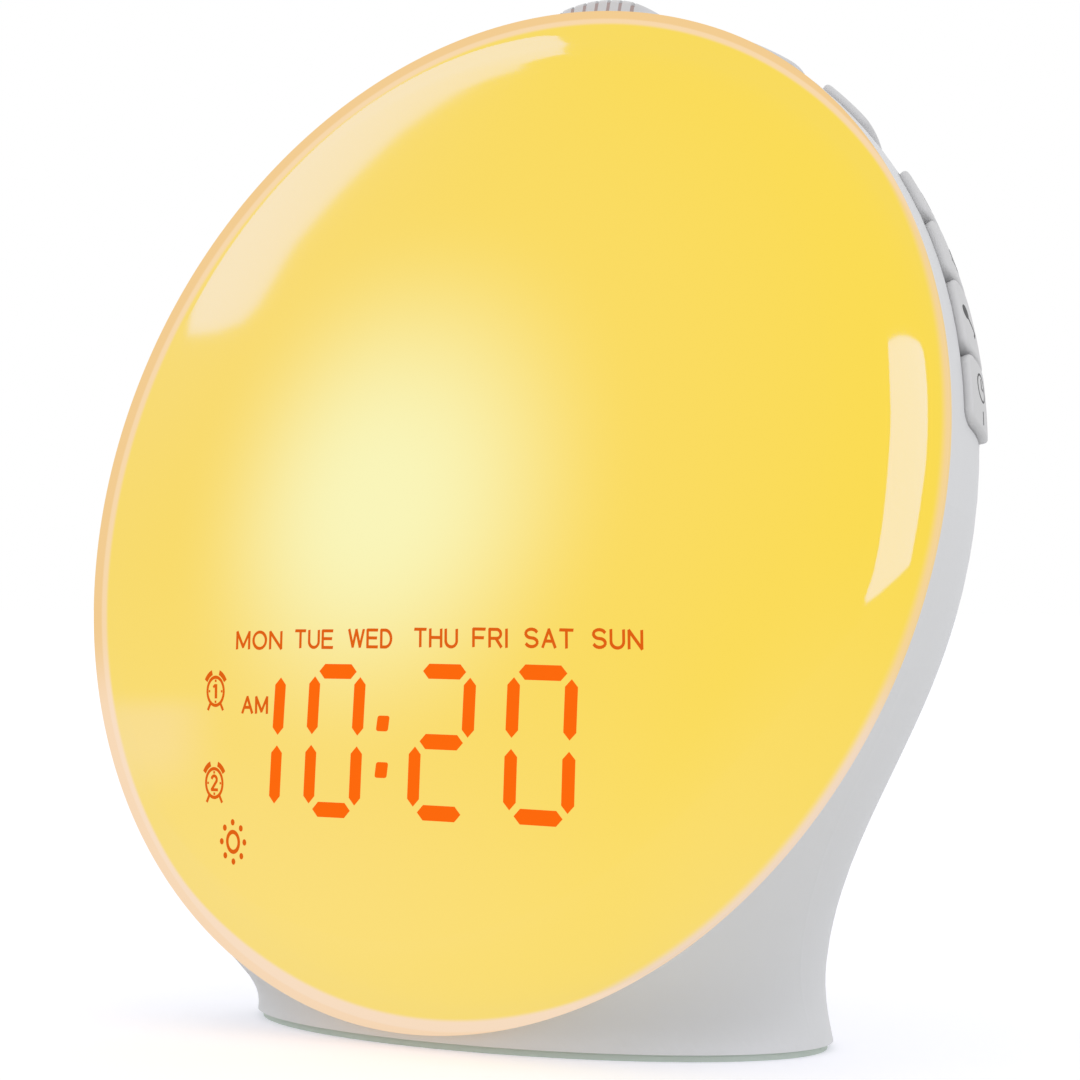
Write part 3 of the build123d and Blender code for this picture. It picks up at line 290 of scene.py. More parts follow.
# Places on the front, in millimetres across and up from its middle and out from the seam. The lamp:
# where it shines through, its factors of stretch on the low and the high side of there, and its reach
LAMP_ACROSS = -11.16
LAMP_UP = -4.2
STRETCH_ACROSS = (0.856, 0.765)
STRETCH_UP = (0.901, 0.765)
LAMP_RINGS = ((HALO, 129.3), (CORE, 45.2))
# Light that grows along a slanted way: colour, way (across, up), and where on it the growth runs
SLANTED_LIGHTS = (
    (LOW_LIGHT, (-0.202, -1.0), (3.2, 104.5)),
    (SIDE_LIGHT, (-1.0, 0.812), (22.5, 140.0)),
)
# Patches: colour, and from where to where each of their sides fades in
PATCHES = (
    (LEFT_LIGHT, (("across", -34.0, -58.0), ("up", -35.0, -42.0), ("up", -60.0, -44.0))),
    (RIGHT_LIGHT, (("across", 36.0, 72.0), ("up", 0.0, -45.0), ("radius", 66.0, 88.0))),
)
# Colours of the edge: the rim by the seam, a painted peach sheen band and a painted orange limb shade
# at the outline, each with its paler tone low down, which is a painted reflection of the white floor
RIM, RIM_LOW = tone(248, 213, 143), tone(247, 219, 186)
PAINTED_SHEEN, PAINTED_SHEEN_LOW = tone(245, 214, 170), tone(247, 221, 194)
PAINTED_LIMB_SHADE, PAINTED_LIMB_SHADE_LOW = tone(240, 202, 144), tone(246, 216, 183)
FLOOR_REFLECTION_FADE = (-22.0, -42.0)
RIM_FADE = (2.8, 0.6)
# The painted sheen band and painted limb shade stand in for the look of the edge where it is seen edge-on.
# They are laid out for one direction, given as (across, up, out): the way from the clock to the scene's
# camera. They cover the edge where it turns away from there, and stay where they are in every other view.
# NEARNESS turns that direction towards the face's axis at the edge, because the camera stands close. The
# fades run between two shares of facing that direction squarely.
VIEWED_FROM = (0.623, -0.209, 0.754)
NEARNESS = -0.14
PAINTED_SHEEN_FADE = (0.575, 0.495)
PAINTED_LIMB_SHADE_FADE = (0.46, 0.40)
HIDDEN_FADE = (-0.62, -0.08)
FOOT_FADE = (-64.0, -86.0)
FOOT_WIDENING = -0.09
# Share of the front's colour that is its own light, and the polish over it
GLOW_SHARE = 0.86
GLOW_STRENGTH = 1.045
FROST_ROUGHNESS = 0.6
FROST_SCALE = 60
FROST_DEPTH = 0.02
SHEEN = (0.02, 0.3, 1.0, 1.0)
POLISH_ROUGHNESS = 0.06
POLISH_IOR = 1.5
MOST_GLOSS = 0.065


def face_place(graph):
    """Place on the front in the face's own directions: across, up, out and radius."""
    feeds = {
        "Vector": graph.place(), "Location": CENTRE * MM, "Rotation": (FACE_TURN, 0, 0),
        "Scale": (MM, MM, MM),
    }
    turned = graph.add("ShaderNodeMapping", feeds, vector_type="TEXTURE")
    parts = graph.add("ShaderNodeSeparateXYZ", {"Vector": turned.outputs["Vector"]})
    across, up, out = parts.outputs
    return {"across": across, "up": up, "out": out, "radius": graph.distance(across, up)}


def lopsided(graph, value, middle, stretch):
    """Distance from a middle, stretched by one factor below it and another above."""
    apart = graph.maths("SUBTRACT", value, middle)
    above = graph.maths("MULTIPLY", apart, stretch[1])
    below = graph.maths("MULTIPLY", apart, -stretch[0])
    return graph.maths("MAXIMUM", above, below)


def front_light(graph, at):
    """Colour of the light that comes through the front, before its edge."""
    side = lopsided(graph, at["across"], LAMP_ACROSS, STRETCH_ACROSS)
    level = lopsided(graph, at["up"], LAMP_UP, STRETCH_UP)
    reach = graph.distance(side, level)
    colour = YELLOW
    for light, radius in LAMP_RINGS:
        colour = graph.blend(graph.ease(reach, radius, 0.0), colour, light, "ADD")
    for light, way, ends in SLANTED_LIGHTS:
        along = graph.total((at["across"], way[0]), (at["up"], way[1]))
        colour = graph.blend(graph.ease(along, *ends), colour, light, "ADD")
    for light, sides in PATCHES:
        masks = [graph.ease(at[name], *ends) for name, *ends in sides]
        mask = masks[0]
        for other in masks[1:]:
            mask = graph.maths("MULTIPLY", other, mask)
        colour = graph.blend(mask, colour, light, "ADD")
    return colour


def edge_facing(graph, at):
    """How squarely the edge faces VIEWED_FROM: 1 where it does, 0 at the outline seen from there."""
    # This places the painted sheen band and painted limb shade where the edge is seen edge-on
    beyond = graph.maths("SUBTRACT", 1.0, graph.maths("DIVIDE", EDGE_AT, at["radius"]))
    beyond = graph.maths("MAXIMUM", beyond, 0.0)
    lean = graph.total(
        (at["across"], VIEWED_FROM[0]), (at["up"], VIEWED_FROM[1]), (at["radius"], NEARNESS)
    )
    sideways = graph.maths("DIVIDE", lean, EDGE_R)
    forward = graph.maths("ADD", at["out"], EDGE_BEHIND)
    forward = graph.maths("MULTIPLY", forward, VIEWED_FROM[2] / EDGE_R)
    facing = graph.maths("MULTIPLY_ADD", sideways, beyond, forward)
    lean = graph.maths("DIVIDE", lean, at["radius"])
    whole = graph.maths("SQRT", graph.maths("MULTIPLY_ADD", lean, lean, VIEWED_FROM[2] ** 2))
    return graph.maths("DIVIDE", facing, whole)


def with_painted_edge(graph, at, colour):
    """The front's colour with its rim, painted sheen band and painted limb shade, and the sheen's mask."""
    facing = edge_facing(graph, at)
    in_view = graph.ease(facing, *HIDDEN_FADE)
    widened = graph.maths("MULTIPLY_ADD", graph.ease(at["up"], *FOOT_FADE), FOOT_WIDENING, facing)
    rim = graph.ease(at["out"], *RIM_FADE)
    # Painted peach sheen where the edge is seen edge-on from VIEWED_FROM
    sheen_mask = graph.maths("MULTIPLY", graph.ease(widened, *PAINTED_SHEEN_FADE), in_view)
    # Painted orange limb shade along the outline as seen from VIEWED_FROM
    outline = graph.maths("MULTIPLY", graph.ease(facing, *PAINTED_LIMB_SHADE_FADE), in_view)
    # Paler tones low down on the edge: a painted reflection of the white floor
    low = graph.ease(at["up"], *FLOOR_REFLECTION_FADE)
    for mask, high_tone, low_tone in (
        (rim, RIM, RIM_LOW), (sheen_mask, PAINTED_SHEEN, PAINTED_SHEEN_LOW), (outline, PAINTED_LIMB_SHADE, PAINTED_LIMB_SHADE_LOW),
    ):
        colour = graph.blend(mask, colour, graph.blend(low, high_tone, low_tone))
    return colour, sheen_mask


def glowing_front_material():
    """Frosted front lit from behind: pale over the lamp, yellow around it and peach at the edge.

    At the edge lie a painted sheen band and a painted limb shade.
    """
    material, graph, shader = new_material("glowing_front")
    at = face_place(graph)
    colour, sheen_mask = with_painted_edge(graph, at, front_light(graph, at))
    frost = graph.noise({"Scale": FROST_SCALE})
    bump = graph.add("ShaderNodeBump", {"Height": frost, "Strength": FROST_DEPTH, "Distance": GRAIN_HEIGHT})
    for key, value in (
        ("Base Color", graph.scaled(colour, 1 - GLOW_SHARE)),
        ("Emission Color", graph.scaled(colour, GLOW_SHARE)),
        ("Emission Strength", GLOW_STRENGTH),
        ("Roughness", FROST_ROUGHNESS),
        ("Specular IOR Level", 0.0),
        ("Normal", bump.outputs["Normal"]),
    ):
        graph.feed(shader.inputs[key], value)
    polish = graph.add("ShaderNodeBsdfGlossy", {
        "Color": SHEEN, "Roughness": POLISH_ROUGHNESS, "Normal": bump.outputs["Normal"],
    })
    fresnel = graph.add("ShaderNodeFresnel", {"IOR": POLISH_IOR})
    gloss = graph.maths("MINIMUM", fresnel.outputs[0], MOST_GLOSS)
    # The polish is left off the painted sheen band
    gloss = graph.maths("MULTIPLY", gloss, graph.maths("SUBTRACT", 1.0, sheen_mask))
    graph.show(graph.add("ShaderNodeMixShader", {0: gloss, 1: shader.outputs[0], 2: polish.outputs[0]}))
    return material


# ------------------------------------------------------------ finish of the lit signs
SIGN_MOTTLE_SCALE = 120
SIGN_MOTTLE = 0.06


def lit_sign_material(name, colour):
    """Light from a digit or legend coming through the front."""
    material, graph, shader = new_material(name)
    cloud = graph.noise({"Scale": SIGN_MOTTLE_SCALE})
    strength = graph.maths("MULTIPLY_ADD", cloud, SIGN_MOTTLE, 1 - SIGN_MOTTLE / 2)
    for key, value in (
        ("Base Color", tuple((1 - GLOW_SHARE) * part for part in colour[:3]) + (1,)),
        ("Emission Color", graph.scaled(colour[:3], strength)),
        ("Emission Strength", GLOW_SHARE),
        ("Roughness", FROST_ROUGHNESS),
        ("Specular IOR Level", 0.0),
    ):
        graph.feed(shader.inputs[key], value)
    return material


FRONT_GLOW = glowing_front_material()
DIGIT_GLOW = lit_sign_material("digit_glow", tone(255, 106, 14))
LEGEND_GLOW = lit_sign_material("legend_glow", tone(226, 98, 20))
FINISHES["front"] = FRONT_GLOW

SLOT_OF = {row["node"]: row["material_slot"] for row in frame["record"]["subparts"]}
for node, piece in frame["nodes"].items():
    for slot in piece.material_slots:
        slot.material = FINISHES[SLOT_OF[node]]


# ------------------------------------------------------------ making pieces
def mesh_object(builder, name, material):
    """Object at the origin from a finished bmesh."""
    mesh = bpy.data.meshes.new(name)
    builder.to_mesh(mesh)
    builder.free()
    mesh.materials.append(material)
    made = bpy.data.objects.new(name, mesh)
    bpy.context.scene.collection.objects.link(made)
    return made


def piece_from(builder, name, body, material, smooth=True):
    """Piece of the clock, riding on its body."""
    piece = mesh_object(builder, name, material)
    for polygon in piece.data.polygons:
        polygon.use_smooth = smooth
    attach(piece, body)
    return piece


# ------------------------------------------------------------ glowing front
DOME_STEPS = 26
EDGE_STEPS = 34
ROUND_STEPS = 288
SAME_PLACE = 0.001


def front_outline(inset):
    """Places (radius, height) from the middle of the front to its rim, shrunk by inset."""
    meet = atan2(EDGE_AT, -EDGE_BEHIND - DOME_AT)
    places = []
    for step in range(DOME_STEPS):
        angle = meet * step / DOME_STEPS
        radius = DOME_R - inset
        places.append((radius * sin(angle), DOME_AT + radius * cos(angle)))
    last = pi / 2 - asin(EDGE_BEHIND / (EDGE_R - inset))
    for step in range(EDGE_STEPS + 1):
        angle = meet + (last - meet) * step / EDGE_STEPS
        radius = EDGE_R - inset
        places.append((EDGE_AT + radius * sin(angle), -EDGE_BEHIND + radius * cos(angle)))
    return places


def glowing_front():
    """Domed front as one closed shell, turned round the face's axis."""
    outside = front_outline(0.0)
    inside = [place for place in front_outline(FRONT_WALL) if place[1] > LIP_RISE]
    lip = [(LIP_R, 0.0), (LIP_R, -LIP_BACK), (LIP_R - LIP_T, -LIP_BACK), (LIP_R - LIP_T, LIP_RISE)]
    outline = outside + lip + inside[::-1]
    builder = bmesh.new()
    rim = [builder.verts.new((radius, 0, height)) for radius, height in outline]
    edges = [builder.edges.new(pair) for pair in zip(rim, rim[1:])]
    bmesh.ops.spin(
        builder, geom=rim + edges, cent=(0, 0, 0), axis=(0, 0, 1),
        angle=2 * pi, steps=ROUND_STEPS, use_merge=True,
    )
    bmesh.ops.remove_doubles(builder, verts=builder.verts, dist=SAME_PLACE)
    bmesh.ops.recalc_face_normals(builder, faces=builder.faces)
    for vert in builder.verts:
        vert.co = from_face(*vert.co)
    piece = piece_from(builder, "front_shell", "clock", FRONT_GLOW)
    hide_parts("diffuser")


glowing_front()


# ------------------------------------------------------------ flat signs that follow a curved surface
SIGN_T = 0.12
SIGN_PROUD = 0.03
BAR_STEP = 1.2
CORNER_OVERLAP = 0.3


class Sign:
    """Flat shapes, in millimetres, that are thickened and laid on a curved surface."""

    def __init__(self):
        self.shapes = bmesh.new()

    def outline(self, points):
        """Filled shape inside a few points."""
        self.shapes.faces.new([self.shapes.verts.new((x, y, 0)) for x, y in points])

    def bar(self, start, end, width):
        """Straight stroke between two points, in steps short enough to follow the surface."""
        start, end = Vector(start), Vector(end)
        along = end - start
        place = (
            Matrix.Translation(((start + end) / 2).to_3d())
            @ Matrix.Rotation(atan2(along.y, along.x), 4, "Z")
            @ Matrix.Diagonal((along.length, width, 1, 1))
        )
        steps = ceil(along.length / BAR_STEP)
        bmesh.ops.create_grid(self.shapes, x_segments=steps, y_segments=1, size=0.5, matrix=place)

    def path(self, points, width):
        """Stroke along a run of points, its corners filled."""
        for start, end in zip(points, points[1:]):
            start, end = Vector(start), Vector(end)
            spare = (end - start).normalized() * width * CORNER_OVERLAP
            self.bar(start - spare, end + spare, width)

    def arc(self, centre, radius, width, start=0.0, turn=360.0, steps=28, tall=1.0):
        """Curved stroke: part of a ring, or all of it."""
        earlier = set(self.shapes.verts)
        first = radians(start)
        ends = [
            self.shapes.verts.new((r * cos(first), r * sin(first), 0))
            for r in (radius - width / 2, radius + width / 2)
        ]
        bmesh.ops.spin(
            self.shapes, geom=ends + [self.shapes.edges.new(ends)], cent=(0, 0, 0),
            axis=(0, 0, 1), angle=radians(turn), steps=steps, use_merge=turn >= 360,
        )
        x, y = centre
        for vert in self.shapes.verts:
            if vert not in earlier:
                vert.co.x = x + vert.co.x
                vert.co.y = y + vert.co.y * tall

    def disc(self, centre, radius, steps, tall=1.0):
        """Filled round or oval shape."""
        place = (
            Matrix.Translation((*centre, 0))
            @ Matrix.Diagonal((1, tall, 1, 1))
            @ Matrix.Rotation(-pi / 2, 4, "Z")
        )
        bmesh.ops.create_circle(
            self.shapes, cap_ends=True, cap_tris=True, segments=steps, radius=radius, matrix=place
        )

    def finish(self, name, body, material, lay):
        """Thicken, lay on the surface with lay(x, y, lift) and ride on the body."""
        shapes = self.shapes
        for face in shapes.faces:
            face.normal_update()
            if face.normal.z < 0:
                face.normal_flip()
        made = bmesh.ops.extrude_face_region(shapes, geom=list(shapes.faces))
        raised = [item for item in made["geom"] if isinstance(item, bmesh.types.BMVert)]
        bmesh.ops.translate(shapes, verts=raised, vec=(0, 0, SIGN_T))
        bmesh.ops.recalc_face_normals(shapes, faces=shapes.faces)
        for vert in shapes.verts:
            vert.co = lay(vert.co.x, vert.co.y, vert.co.z - SIGN_T + SIGN_PROUD)
        return piece_from(shapes, name, body, material, smooth=False)


# ------------------------------------------------------------ lit time
TIME_LEAN = -0.103
TIME_UP = -44.17
TIME_SLOPE = 0.0145
UPRIGHT_AT = 5.8
LEVEL_AT = 11.6
UPRIGHT_L = 9.8
LEVEL_INSET = 0.92
STROKE = 2.5
SEGMENTS = {"1": "bc", "0": "abcdef", "2": "abged"}
# Figure, place of its middle across the front, and how far its uprights stand from there
DIGITS = (("1", -30.8, 5.15), ("0", -12.5, 5.15), ("2", 10.8, 5.45), ("0", 30.85, 5.7))
COLON_DOTS = ((-2.15, -41.3), (-1.21, -49.0))
DOT_CORNERS = ((0.8, 0.9), (-0.8, 0.9), (-0.8, -0.9), (0.8, -0.9))
DOT_ROUND = (0.5, 0.4)
DOT_STEPS = 4


def pointed(sign, centre, half, upright):
    """One pointed stroke of a digit, leaning as the digits do."""
    x, y = centre
    flat, wide = half - STROKE / 2, STROKE / 2
    places = [(-half, 0), (-flat, -wide), (flat, -wide), (half, 0), (flat, wide), (-flat, wide)]
    if upright:
        places = [(-b, a) for a, b in places]
    sign.outline([(x + a + TIME_LEAN * (y + b - TIME_UP), y + b) for a, b in places])


def digit(sign, figure, middle, side):
    """One figure of seven strokes."""
    spots = {
        "a": (0, LEVEL_AT), "g": (0, 0), "d": (0, -LEVEL_AT),
        "f": (-side, UPRIGHT_AT), "b": (side, UPRIGHT_AT),
        "e": (-side, -UPRIGHT_AT), "c": (side, -UPRIGHT_AT),
    }
    for letter in SEGMENTS[figure]:
        x, y = spots[letter]
        upright = x != 0
        half = UPRIGHT_L / 2 if upright else side - LEVEL_INSET
        pointed(sign, (middle + x, TIME_UP + TIME_SLOPE * middle + y), half, upright)


def colon_dot(sign, across, up):
    """Square dot with rounded corners."""
    places = []
    for quarter, (a, b) in enumerate(DOT_CORNERS):
        for step in range(DOT_STEPS + 1):
            turn = radians(90 * (quarter + step / DOT_STEPS))
            places.append((across + a + DOT_ROUND[0] * cos(turn), up + b + DOT_ROUND[1] * sin(turn)))
    sign.outline(places)


time_sign = Sign()
for figure, middle, side in DIGITS:
    digit(time_sign, figure, middle, side)
for across, up in COLON_DOTS:
    colon_dot(time_sign, across, up)
time_sign.finish("lit_time", "clock", DIGIT_GLOW, on_front)


# ------------------------------------------------------------ lit words
def bend(centre, across, up, start, turn, steps=12):
    """Points along part of an oval."""
    x, y = centre
    turns = [radians(start + turn * step / steps) for step in range(steps + 1)]
    return [(x + across * cos(t), y + up * sin(t)) for t in turns]


# Strokes of each letter, in a box one wide and one high
UPPER_BOWL = bend((0.5, 0.75), 0.47, 0.25, 25, 245)
LOWER_BOWL = bend((0.5, 0.25), 0.47, 0.25, 90, -245)
LETTERS = {
    "A": (((0, 0), (0.5, 1), (1, 0)), ((0.2, 0.34), (0.8, 0.34))),
    "D": ([(0, 0), (0, 1)] + bend((0.4, 0.5), 0.6, 0.5, 90, -180) + [(0, 0)],),
    "E": (((1, 1), (0, 1), (0, 0), (1, 0)), ((0, 0.53), (0.9, 0.53))),
    "F": (((1, 1), (0, 1), (0, 0)), ((0, 0.5), (0.85, 0.5))),
    "H": (((0, 0), (0, 1)), ((1, 0), (1, 1)), ((0, 0.53), (1, 0.53))),
    "I": (((0.5, 0), (0.5, 1)),),
    "M": (((0, 0), (0, 1), (0.5, 0.1), (1, 1), (1, 0)),),
    "N": (((0, 0), (0, 1), (1, 0), (1, 1)),),
    "O": (bend((0.5, 0.5), 0.52, 0.5, 0, 360, 28),),
    "R": ([(0, 0), (0, 1)] + bend((0.6, 0.74), 0.37, 0.26, 90, -180) + [(0, 0.48)], ((0.55, 0.48), (1, 0))),
    "S": (UPPER_BOWL + LOWER_BOWL[1:],),
    "T": (((0, 1), (1, 1)), ((0.5, 1), (0.5, 0))),
    "U": ([(0, 1)] + bend((0.5, 0.36), 0.5, 0.36, 180, 180) + [(1, 1)],),
    "W": (((0, 1), (0.25, 0), (0.5, 1), (0.75, 0), (1, 1)),),
}
WIDE = {"I": 0.1, "M": 1.12, "O": 1.1, "W": 1.5}
LETTER_GAP = 0.42
LETTER_STROKE = 0.52
LETTER_LEAN = -0.17
# Word and its two sides; the row of days rises a little to the right
DAYS = (
    ("MON", -38.95, -27.7), ("TUE", -24.8, -15.75), ("WED", -12.45, -2.6), ("THU", 2.05, 11.45),
    ("FRI", 14.4, 21.8), ("SAT", 24.95, 34.8), ("SUN", 38.2, 47.95),
)
DAYS_FOOT = -29.17
DAYS_HEAD = -25.8
DAYS_START = -39.0
DAYS_SLOPE = 0.015
MORNING_SIDES = (-35.35, -28.9)
MORNING_LEVELS = (-40.3, -37.1)


def word_on_front(sign, text, left, right, low, high):
    """Word of plain stroked letters, fitted between two sides and two heights."""
    widths = [WIDE.get(letter, 1.0) for letter in text]
    unit = (right - left - LETTER_STROKE) / (sum(widths) + LETTER_GAP * (len(text) - 1))
    tall = high - low - LETTER_STROKE
    foot = low + LETTER_STROKE / 2
    at = left + LETTER_STROKE / 2
    for letter, width in zip(text, widths):
        for run in LETTERS[letter]:
            places = [(at + x * width * unit, foot + y * tall) for x, y in run]
            sign.path([(x + LETTER_LEAN * (y - foot - tall / 2), y) for x, y in places], LETTER_STROKE)
        at += (width + LETTER_GAP) * unit


word_sign = Sign()
for text, left, right in DAYS:
    rise = DAYS_SLOPE * (left - DAYS_START)
    word_on_front(word_sign, text, left, right, DAYS_FOOT + rise, DAYS_HEAD + rise)
word_on_front(word_sign, "AM", *MORNING_SIDES, *MORNING_LEVELS)
word_sign.finish("lit_words", "clock", LEGEND_GLOW, on_front)

# ------------------------------------------------------------ lit signs
TALL = 1.2
SIGN_LEAN = -0.19
ALARM_PLACES = {1: (-42.27, -36.4), 2: (-39.55, -52.25)}
SUN_PLACE = (-33.23, -62.1)
RAYS = 8
RAY_AT = 2.75


def leaning_lay(centre):
    """Lays a sign, drawn round its own middle, at a place on the front with a lean."""
    def lay(x, y, lift):
        return on_front(centre[0] + x + SIGN_LEAN * y, centre[1] + y, lift)
    return lay


def bell_clock(sign, figure):
    """Alarm clock with two bells, two feet and its number."""
    sign.arc((0, 0), 2.05, 0.48, tall=TALL, steps=36)
    for side, start in ((1, 32), (-1, 108)):
        sign.arc((0, 0), 2.85, 0.75, start=start, turn=40, steps=8, tall=TALL)
        sign.bar((side * 1.3, -2.2), (side * 1.9, -3.3), 0.5)
    for turn in (0, 90, 180, 270):
        out = Vector((cos(radians(turn)), TALL * sin(radians(turn))))
        sign.bar(out * 1.35, out * 1.7, 0.4)
    if figure == 1:
        sign.bar((0.1, -1.25), (0.1, 1.25), 0.6)
        sign.bar((-0.6, 0.7), (0, 1.15), 0.45)
    else:
        top = bend((0, 0.6), 0.62, 0.62, 160, -190)
        sign.path(top + [(-0.65, -1.15), (0.75, -1.15)], 0.5)


def ray_ways():
    """Directions of a sun's rays."""
    return [Vector((cos(turn), sin(turn))) for turn in (2 * pi * ray / RAYS for ray in range(RAYS))]


for figure, centre in ALARM_PLACES.items():
    alarm_sign = Sign()
    bell_clock(alarm_sign, figure)
    alarm_sign.finish(f"lit_alarm_{figure}", "clock", LEGEND_GLOW, leaning_lay(centre))

sun_sign = Sign()
sun_sign.arc((0, 0), 1.4, 0.6, tall=TALL)
for way in ray_ways():
    sun_sign.disc((RAY_AT * way.x, RAY_AT * TALL * way.y), 0.46, 10, TALL)
sun_sign.finish("lit_sun", "clock", LEGEND_GLOW, leaning_lay(SUN_PLACE))


# ------------------------------------------------------------ marks on the keys
KEY_ANGLES = (13.1, 21.4, 29.45, 36.75, 51.85, 64.9)


def key_lay(angle, proud, side):
    """Lays a sign on a key: x runs to the back, y up the shoulder."""
    def lay(x, y, lift):
        turn = angle + degrees(y / (FACE_R + proud))
        place = on_shoulder(turn, KEY_MID + x, proud, lift)
        return Vector((place.x * side, place.y, place.z))
    return lay


def clock_mark(sign):
    """Clock face with two hands, and a short stroke below it."""
    sign.bar((-0.4, -4.9), (-0.4, -2.6), 0.4)
    sign.arc((-0.6, 1.4), 2.3, 0.35, steps=24)
    sign.bar((-0.6, 1.4), (-0.6, 3.0), 0.35)
    sign.bar((-0.6, 1.4), (0.7, 1.4), 0.35)


def plus_mark(sign):
    sign.bar((-1.6, 0), (1.6, 0), 0.4)
    sign.bar((0, -1.6), (0, -0.2), 0.4)
    sign.bar((0, 0.2), (0, 1.6), 0.4)


def note_mark(sign):
    """Note of music: an oval head with a bent stem."""
    sign.disc((-3.8, 0.55), 1.35, 20, 0.9)
    sign.path([(-2.9, -0.2), (0.3, -1.6), (-0.7, -2.7)], 0.55)


def sun_mark(sign):
    sign.arc((0, 0), 1.1, 0.3, steps=24)
    for way in ray_ways():
        sign.bar(way * 1.7, way * 2.5, 0.3)


def bell_mark(sign):
    sign.arc((0, 0.2), 1.5, 0.3, turn=180, steps=16)
    sign.bar((-1.5, 0.2), (-1.9, -1.5), 0.3)
    sign.bar((1.5, 0.2), (1.9, -1.5), 0.3)
    sign.bar((-2.4, -1.5), (2.4, -1.5), 0.35)
    sign.disc((0, -2.1), 0.45, 12)


def bars_mark(sign):
    """Three bars that grow."""
    for step in range(3):
        x = -1.2 + 1.2 * step
        sign.bar((x, -1.5), (x, -0.5 + step), 0.5)


RIGHT_MARKS = (clock_mark, note_mark, bell_mark, sun_mark, plus_mark, bars_mark)
LEFT_MARKS = (plus_mark, clock_mark, sun_mark, bell_mark, bars_mark, note_mark)
for hand, side, marks in (("right", 1, RIGHT_MARKS), ("left", -1, LEFT_MARKS)):
    for number, (angle, mark) in enumerate(zip(KEY_ANGLES, marks), start=1):
        sign = Sign()
        mark(sign)
        proud = TOP_KEY_PROUD if number == len(KEY_ANGLES) else KEY_PROUD
        body = f"{hand}_key_{number}"
        sign.finish(body + "_mark", body, KEY_PRINT, key_lay(angle, proud, side))


# ------------------------------------------------------------ shade in the grooves of the snooze button
SNOOZE_CREST = 94.9
SNOOZE_ARCH_R = 27.0
SNOOZE_PITCH = 2.66
SNOOZE_FRONT = 4.7
SNOOZE_CORNER = 5.0
SNOOZE_STRAIGHT = 6.7
GROOVES_EACH_SIDE = 3
GROOVE_FOOT = 89.7
GROOVE_W = 0.66
GROOVE_DEPTH = 0.75


def snooze_lay(x, y, lift):
    """Lays a sign on the front wall of the snooze button, round its corners."""
    past = max(abs(x) - SNOOZE_STRAIGHT, 0)
    return from_face(x, y, lift - SNOOZE_FRONT - SNOOZE_CORNER + sqrt(SNOOZE_CORNER**2 - past**2))


groove_sign = Sign()
for step in range(-GROOVES_EACH_SIDE, GROOVES_EACH_SIDE + 1):
    middle = step * SNOOZE_PITCH
    crest = SNOOZE_CREST - SNOOZE_ARCH_R + sqrt(SNOOZE_ARCH_R**2 - middle**2) - GROOVE_DEPTH
    groove_sign.bar((middle, GROOVE_FOOT), (middle, crest), GROOVE_W)
groove_sign.finish("snooze_grooves", "snooze_button", GROOVE_SHADE, snooze_lay)

# ------------------------------------------------------------ floor, in metres
FLOOR_HALF = 6
FLOOR_COLOUR = (0.78, 0.78, 0.78, 1)
FLOOR_LIFT = 0.36
FLOOR_LIFT_TINT = (0.86, 0.87, 1.0, 1)


def floor():
    """Pale floor that takes the clock's shadow and is lifted to white where it is seen."""
    material, graph, shader = new_material("floor_white")
    graph.nodes.remove(shader)
    matt = graph.add("ShaderNodeBsdfDiffuse", {"Color": FLOOR_COLOUR})
    lift = graph.maths("MULTIPLY", graph.seen(), FLOOR_LIFT)
    light = graph.add("ShaderNodeEmission", {"Color": FLOOR_LIFT_TINT, "Strength": lift})
    graph.show(graph.add("ShaderNodeAddShader", {0: matt.outputs[0], 1: light.outputs[0]}))
    builder = bmesh.new()
    bmesh.ops.create_grid(builder, x_segments=1, y_segments=1, size=FLOOR_HALF)
    piece = mesh_object(builder, "floor", material)


floor()

# ------------------------------------------------------------ light of the room
AMBIENT = 0.97


def pale_room():
    """Even light from all round: white where it is seen, and AMBIENT of that on the things it lights."""
    world = bpy.data.worlds.new("pale_room")
    bpy.context.scene.world = world
    world.use_nodes = True
    graph = Graph(world.node_tree)
    backdrop = graph.nodes["Background"].inputs
    graph.feed(backdrop["Color"], (1, 1, 1, 1))
    graph.feed(backdrop["Strength"], graph.maths("MULTIPLY_ADD", graph.seen(), 1 - AMBIENT, AMBIENT))


pale_room()

# ------------------------------------------------------------ glowing cards, in metres
LOOK_AT = Vector((0, 0, 0.09))
CARD_DISTANCE = 1.2
CARD_TINT = (0.85, 0.8, 1.0, 1)
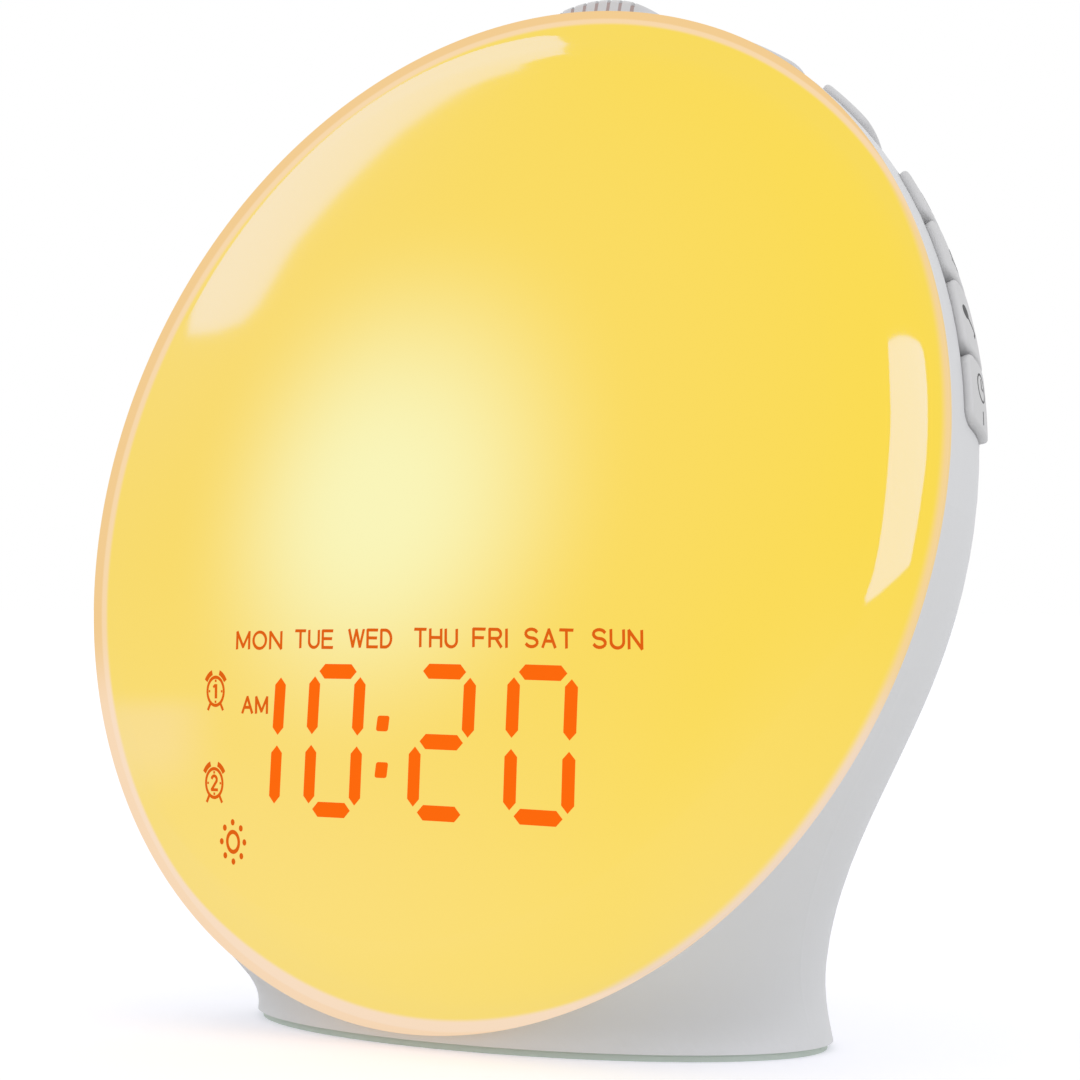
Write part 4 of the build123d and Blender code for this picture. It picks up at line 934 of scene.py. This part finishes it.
# Outline of each card, as places across and up from its middle
LEFT_CARD = (
    (0.213, -0.322), (0.251, -0.301), (0.276, -0.279), (0.283, -0.255), (0.276, -0.19), (0.284, -0.121),
    (0.299, -0.048), (0.312, -0.014), (0.341, 0.05), (0.36, 0.08), (0.29, 0.17), (0.242, 0.243),
    (0.034, 0.355), (-0.193, 0.398), (-0.256, 0.364), (-0.251, 0.22), (-0.232, 0.13), (-0.201, 0.046),
    (-0.147, -0.036), (-0.06, -0.11), (0.02, -0.18), (0.09, -0.235), (0.15, -0.28), (0.19, -0.312),
)
RIGHT_CARD = (
    (-0.281, 0.551), (-0.117, 0.519), (0.25, 0.444), (0.434, 0.407), (0.499, 0.363), (0.478, 0.244),
    (0.434, 0.088), (0.393, -0.073), (0.346, -0.193), (0.328, -0.333), (0.33, -0.464),
    (0.076, -0.465), (-0.214, -0.453), (-0.453, -0.428), (-0.526, -0.383), (-0.455, -0.297),
    (-0.441, -0.168), (-0.443, -0.014), (-0.429, 0.118), (-0.388, 0.266), (-0.367, 0.389),
    (-0.317, 0.508),
)


def lit_card(name, azimuth, elevation, corners, radiance):
    """Glowing card that only shows in polished surfaces."""
    material, graph, shader = new_material(name + "_light")
    graph.nodes.remove(shader)
    graph.show(graph.add("ShaderNodeEmission", {"Color": CARD_TINT, "Strength": radiance}))
    turn, lift = radians(azimuth), radians(elevation)
    way = Vector((sin(turn) * cos(lift), -cos(turn) * cos(lift), sin(lift)))
    level = Vector((cos(turn), sin(turn), 0))
    rise = way.cross(level)
    middle = LOOK_AT + way * CARD_DISTANCE
    builder = bmesh.new()
    places = [middle + level * across + rise * up for across, up in corners]
    builder.faces.new([builder.verts.new(place) for place in places])
    card = mesh_object(builder, name, material)
    card.visible_camera = False
    card.visible_diffuse = False
    card.visible_shadow = False


lit_card("left_card", azimuth=-75, elevation=40, corners=LEFT_CARD, radiance=6.2)
lit_card("right_card", azimuth=79, elevation=20.8, corners=RIGHT_CARD, radiance=10.4)

# ------------------------------------------------------------ camera, in metres
CAMERA_AT = Vector((0.386569, -0.484196, 0.077578))
CAMERA_TURN = radians(38.5246)
CAMERA_RISE = radians(0.6212)
CAMERA_LENS = 119.58
SENSOR_WIDTH = 36
NEAREST = 0.01

camera_data = bpy.data.cameras.new("camera")
camera_data.lens = CAMERA_LENS
camera_data.sensor_width = SENSOR_WIDTH
camera_data.clip_start = NEAREST
camera = bpy.data.objects.new("camera", camera_data)
bpy.context.scene.collection.objects.link(camera)
looking = Vector((
    -sin(CAMERA_TURN) * cos(CAMERA_RISE), cos(CAMERA_TURN) * cos(CAMERA_RISE), sin(CAMERA_RISE)
))
camera.location = CAMERA_AT
camera.rotation_euler = looking.to_track_quat("-Z", "Y").to_euler()
bpy.context.scene.camera = camera
bpy.context.scene.view_settings.view_transform = "Standard"
